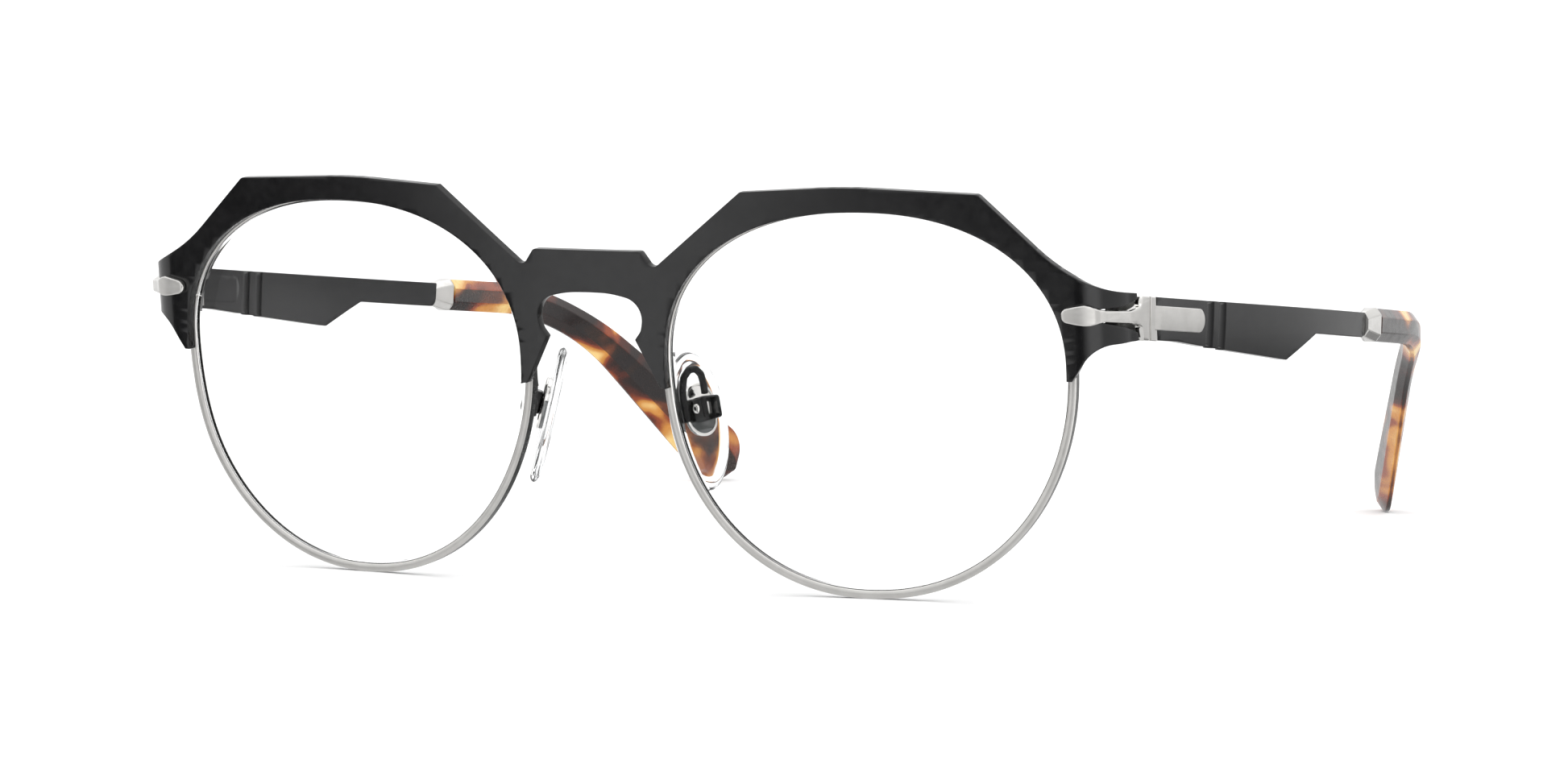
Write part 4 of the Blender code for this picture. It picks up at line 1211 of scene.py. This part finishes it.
def pad_insert():
    """Polished nickel plate whose lower part is painted dark as a painted reflection of shade, with
    a bright raised border, and the lug that the box holds.
    """
    base = PAD_THICKNESS / 2 - 0.3
    width, length, depth = INSERT_SIZE

    def place(a, b, share):
        return pad_point(a, base + depth * share, b + INSERT_UP)

    # Painted reflection: 0, bright nickel, above 0.6; 1, the dark painted shade, below.
    def bright_top_painted_shade_below(centre, _):
        return 0 if centre.y > 0.6 else 1

    plate = finished(sheet(oval(width, length), depth, place, [], [0.6], 0.1, bright_top_painted_shade_below))
    rows = []
    for a, b in oval(width, length):
        middle = pad_point(a * 0.94, base + depth, b * 0.965 + INSERT_UP)
        inward = (pad_point(0, base + depth, INSERT_UP) - middle).normalized()
        ring = []
        for angle in circle(WIRE_SIDES):
            ring.append(middle + inward * 0.2 * math.cos(angle) + PAD_OUT * 0.16 * math.sin(angle))
        rows.append(ring)
    border = finished(skin(rows, closed=True))
    end = BOX_OUT + LUG_PAST_BOX_MIDDLE
    lug = rounded_box((LUG_THICKNESS, end - base, 1.6), 0.1, 2)
    placed(lug, PAD_TURN, pad_point(0, (end + base) / 2, INSERT_UP))
    return joined(plate, border, finished(lug))


def pad_box():
    """Rounded box around the lug, open towards the pad."""
    shell = rounded_box(BOX_SIZE, 0.42, 5)
    placed(shell, PAD_TURN, pad_point(0, BOX_OUT, INSERT_UP))
    room = rounded_box((LUG_THICKNESS + 0.5, 3.0, 5.0), 0.05, 1)
    centre = pad_point(0, BOX_OUT - 0.15, INSERT_UP - 1.3)
    room = finished(placed(room, PAD_TURN, centre))
    return cut_from(finished(shell), room)


def pad_screw():
    half = BOX_SIZE[0] / 2
    base = pad_point(-half - 0.02, BOX_OUT, INSERT_UP)
    return screw(base, -PAD_BACK, 0.62, 0.42, 0.3, BOX_SIZE[0] - 0.2, "hex")


def pad_arm():
    """Looped wire from the rim's back, up and over to the top of the pad box."""
    curve = bpy.data.curves.new("arm", "CURVE")
    curve.dimensions = "3D"
    curve.bevel_depth = ARM_WIRE_RADIUS
    curve.bevel_resolution = 6
    curve.use_fill_caps = True
    curve.resolution_u = 10
    spline = curve.splines.new("NURBS")
    spline.order_u = 4
    spline.use_endpoint_u = True
    spline.points.add(len(ARM_ROUTE) - 1)
    for point, place in zip(spline.points, ARM_ROUTE):
        point.co = (*place, 1.0)
    return finished(final_shape(in_scene("arm", curve)))


# ---------------- pieces on their bodies


def lock_screw():
    """The vertical screw that closes the rim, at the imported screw's own place."""
    low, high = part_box("rim_lock_screw_left")
    back = TO_WORLD.inverted()
    centre = (low + high) / 2
    top = back @ Vector((centre.x, centre.y, high.z))
    bottom = back @ Vector((centre.x, centre.y, low.z))
    base = Vector((top.x, (top.y + bottom.y) / 2, top.z - 0.5))
    return screw(base, (0, 0, 1), 0.68, 0.45, 0.28, top.z - bottom.z - 0.6, "slot")


def hinge_screw():
    top = hinge_axis(KNUCKLE_REACH + 0.15)
    length = 2 * KNUCKLE_REACH + 0.1
    return screw(top, hinge_axis(1) - hinge_axis(0), 0.95, 0.3, 0.5, length, "slot")


add_piece(
    "brow_plate", front_plate(), [BLACK, BLACK_EDGE], "front", ["front_plate"], "satin_black"
)
# (piece, mesh, materials, body, CAD node, slot), each made for both sides.
PIECES = (
    ("rim_wire", rim(), [NICKEL, BRIGHT, RIM_DARK_SIDE_AND_SHADE], "front", "rim", "brushed_nickel"),
    ("clear_lens", lens(), [GLASS], "front", "lens", "clear_lens"),
    ("strap", hinge_strap(), [NICKEL, BRIGHT], "front", "hinge_strap", "brushed_nickel"),
    ("arm_wire", pad_arm(), [BLACK_EDGE], "front", "pad_arm", "satin_black"),
    ("box", pad_box(), [BLACK_EDGE, BLACK], "front", "pad_box", "satin_black"),
    ("box_screw", pad_screw(), [BRIGHT, BLACK_EDGE], "front", "pad_screw", "bright_steel"),
    ("lock_screw", lock_screw(), [BRIGHT, BLACK_EDGE], "front", "rim_lock_screw", "bright_steel"),
    ("pad", nose_pad(), [SILICONE], "nose_pad", "nose_pad", "clear_pad"),
    ("insert", pad_insert(), [BRIGHT, INSERT_PAINTED_SHADE], "nose_pad", "pad_insert", "brushed_nickel"),
    ("block", temple_block(), [NICKEL, BRIGHT], "temple", "hinge_temple_leaf", "brushed_nickel"),
    ("temple", temple_arm(), [TEMPLE_BLACK, BLACK_EDGE], "temple", "temple_arm", "satin_black"),
    ("collar", ferrule(), [NICKEL, BRIGHT], "temple", "ferrule", "brushed_nickel"),
    ("tip", temple_tip(), [HAVANA, HAVANA_FLAT], "temple", "temple_tip", "tortoiseshell"),
    ("hinge_pin", hinge_screw(), [BRIGHT, BLACK_EDGE], "front", "hinge_screw", "bright_steel"),
)
for word, sign in (("left", 1), ("right", -1)):
    for name, mesh, looks, body, node, slot in PIECES:
        if body != "front":
            body = f"{body}_{word}"
        add_piece(f"{name}_{word}", mesh, looks, body, [f"{node}_{word}"], slot, sign)
    for node in ("rim_lock_upper", "rim_lock_lower", "hinge_front_leaf", "core_wire"):
        obj = frame["nodes"][f"{node}_{word}"]
        obj.data.materials.clear()
        obj.data.materials.append(STEEL)


# ---------------- table, light and camera


def cyclorama():
    """Pale floor that curves up into a wall behind."""
    profile = [(FLOOR_FRONT, 0.0), (FLOOR_BACK, 0.0)]
    for k in range(1, END_STEPS + 1):
        angle = math.pi / 2 * k / END_STEPS
        back = FLOOR_BACK + WALL_BEND * math.sin(angle)
        profile.append((back, WALL_BEND * (1 - math.cos(angle))))
    profile.append((FLOOR_BACK + WALL_BEND, WALL_TOP))
    bm = bmesh.new()
    ends = (-FLOOR_HALF_WIDTH, FLOOR_HALF_WIDTH)
    rows = [[bm.verts.new((x, y, z)) for y, z in profile] for x in ends]
    for k in range(len(profile) - 1):
        bm.faces.new((rows[0][k], rows[1][k], rows[1][k + 1], rows[0][k + 1]))
    mesh = smooth_mesh(bm)
    look = Look("pale_floor", (0.93, 0.93, 0.93), 0.9, Specular_IOR_Level=0.1)
    look.tint(look.noise(3, 2), (0.925, 0.925, 0.925), (0.935, 0.935, 0.935))
    mesh.materials.append(look.material)
    obj = in_scene("cyclorama", mesh)
    # Shiny parts reflect the studio light alone.
    obj.visible_glossy = False


def top_light():
    """A weak square lamp overhead, for soft contact shadows."""
    light = bpy.data.lights.new("top_light", "AREA")
    light.size = 2.5
    light.energy = 4
    place, aim = Vector((0, 0.6, 2.2)), Vector((0, 0.3, 0))
    obj = in_scene("top_light", light)
    obj.location = place
    obj.rotation_euler = (aim - place).to_track_quat("-Z", "Y").to_euler()


def heading(azimuth, elevation):
    """Unit direction, angles in degrees: azimuth from straight ahead, positive to the left."""
    a, e = math.radians(azimuth), math.radians(elevation)
    return Vector((math.sin(a) * math.cos(e), -math.cos(a) * math.cos(e), math.sin(e)))


def studio():
    """Plain soft light from all round, with soft-edged darker and brighter patches in it."""
    world = bpy.data.worlds.new("studio")
    bpy.context.scene.world = world
    world.use_nodes = True
    tree = world.node_tree
    link = tree.links.new
    spot = tree.nodes.new("ShaderNodeTexCoord").outputs["Generated"]

    def smooth_range(source, *limits):
        node = tree.nodes.new("ShaderNodeMapRange")
        node.interpolation_type = "SMOOTHSTEP"
        set_range(node, *limits)
        link(source, node.inputs["Value"])
        return node.outputs["Result"]

    parts = tree.nodes.new("ShaderNodeSeparateXYZ")
    link(spot, parts.inputs[0])
    level = smooth_range(parts.outputs["Z"], *HORIZON, GROUND, SKY)
    for azimuth, elevation, inner, outer, radiance in PATCHES:
        near = tree.nodes.new("ShaderNodeVectorMath")
        near.operation = "DOT_PRODUCT"
        near.inputs[1].default_value = heading(azimuth, elevation)
        link(spot, near.inputs[0])
        limits = [math.cos(math.radians(angle)) for angle in (outer, inner)]
        mix = tree.nodes.new("ShaderNodeMix")
        link(smooth_range(near.outputs["Value"], *limits), mix.inputs["Factor"])
        link(level, mix.inputs["A"])
        mix.inputs["B"].default_value = radiance
        level = mix.outputs["Result"]
    link(level, tree.nodes["Background"].inputs["Color"])


def camera():
    azimuth, roll = math.radians(CAMERA_AZIMUTH), math.radians(CAMERA_ROLL)
    back = heading(CAMERA_AZIMUTH, CAMERA_ELEVATION)
    right = Vector((math.cos(azimuth), math.sin(azimuth), 0))
    up = back.cross(right)
    axes = (
        right * math.cos(roll) + up * math.sin(roll),
        up * math.cos(roll) - right * math.sin(roll),
        back,
    )
    turn = Matrix(axes).transposed()
    place = turn.to_4x4()
    place.translation = turn @ -CAMERA_OFFSET
    location, rotation, _ = (TO_WORLD @ place).decompose()
    data = bpy.data.cameras.new("camera")
    data.lens = CAMERA_LENS
    data.sensor_width = 36
    data.clip_start, data.clip_end = 0.01, 50
    obj = in_scene("camera", data)
    obj.location = location
    obj.rotation_euler = rotation.to_euler()
    bpy.context.scene.camera = obj


cyclorama()
studio()
top_light()
camera()
bpy.context.scene.view_settings.view_transform = "Standard"
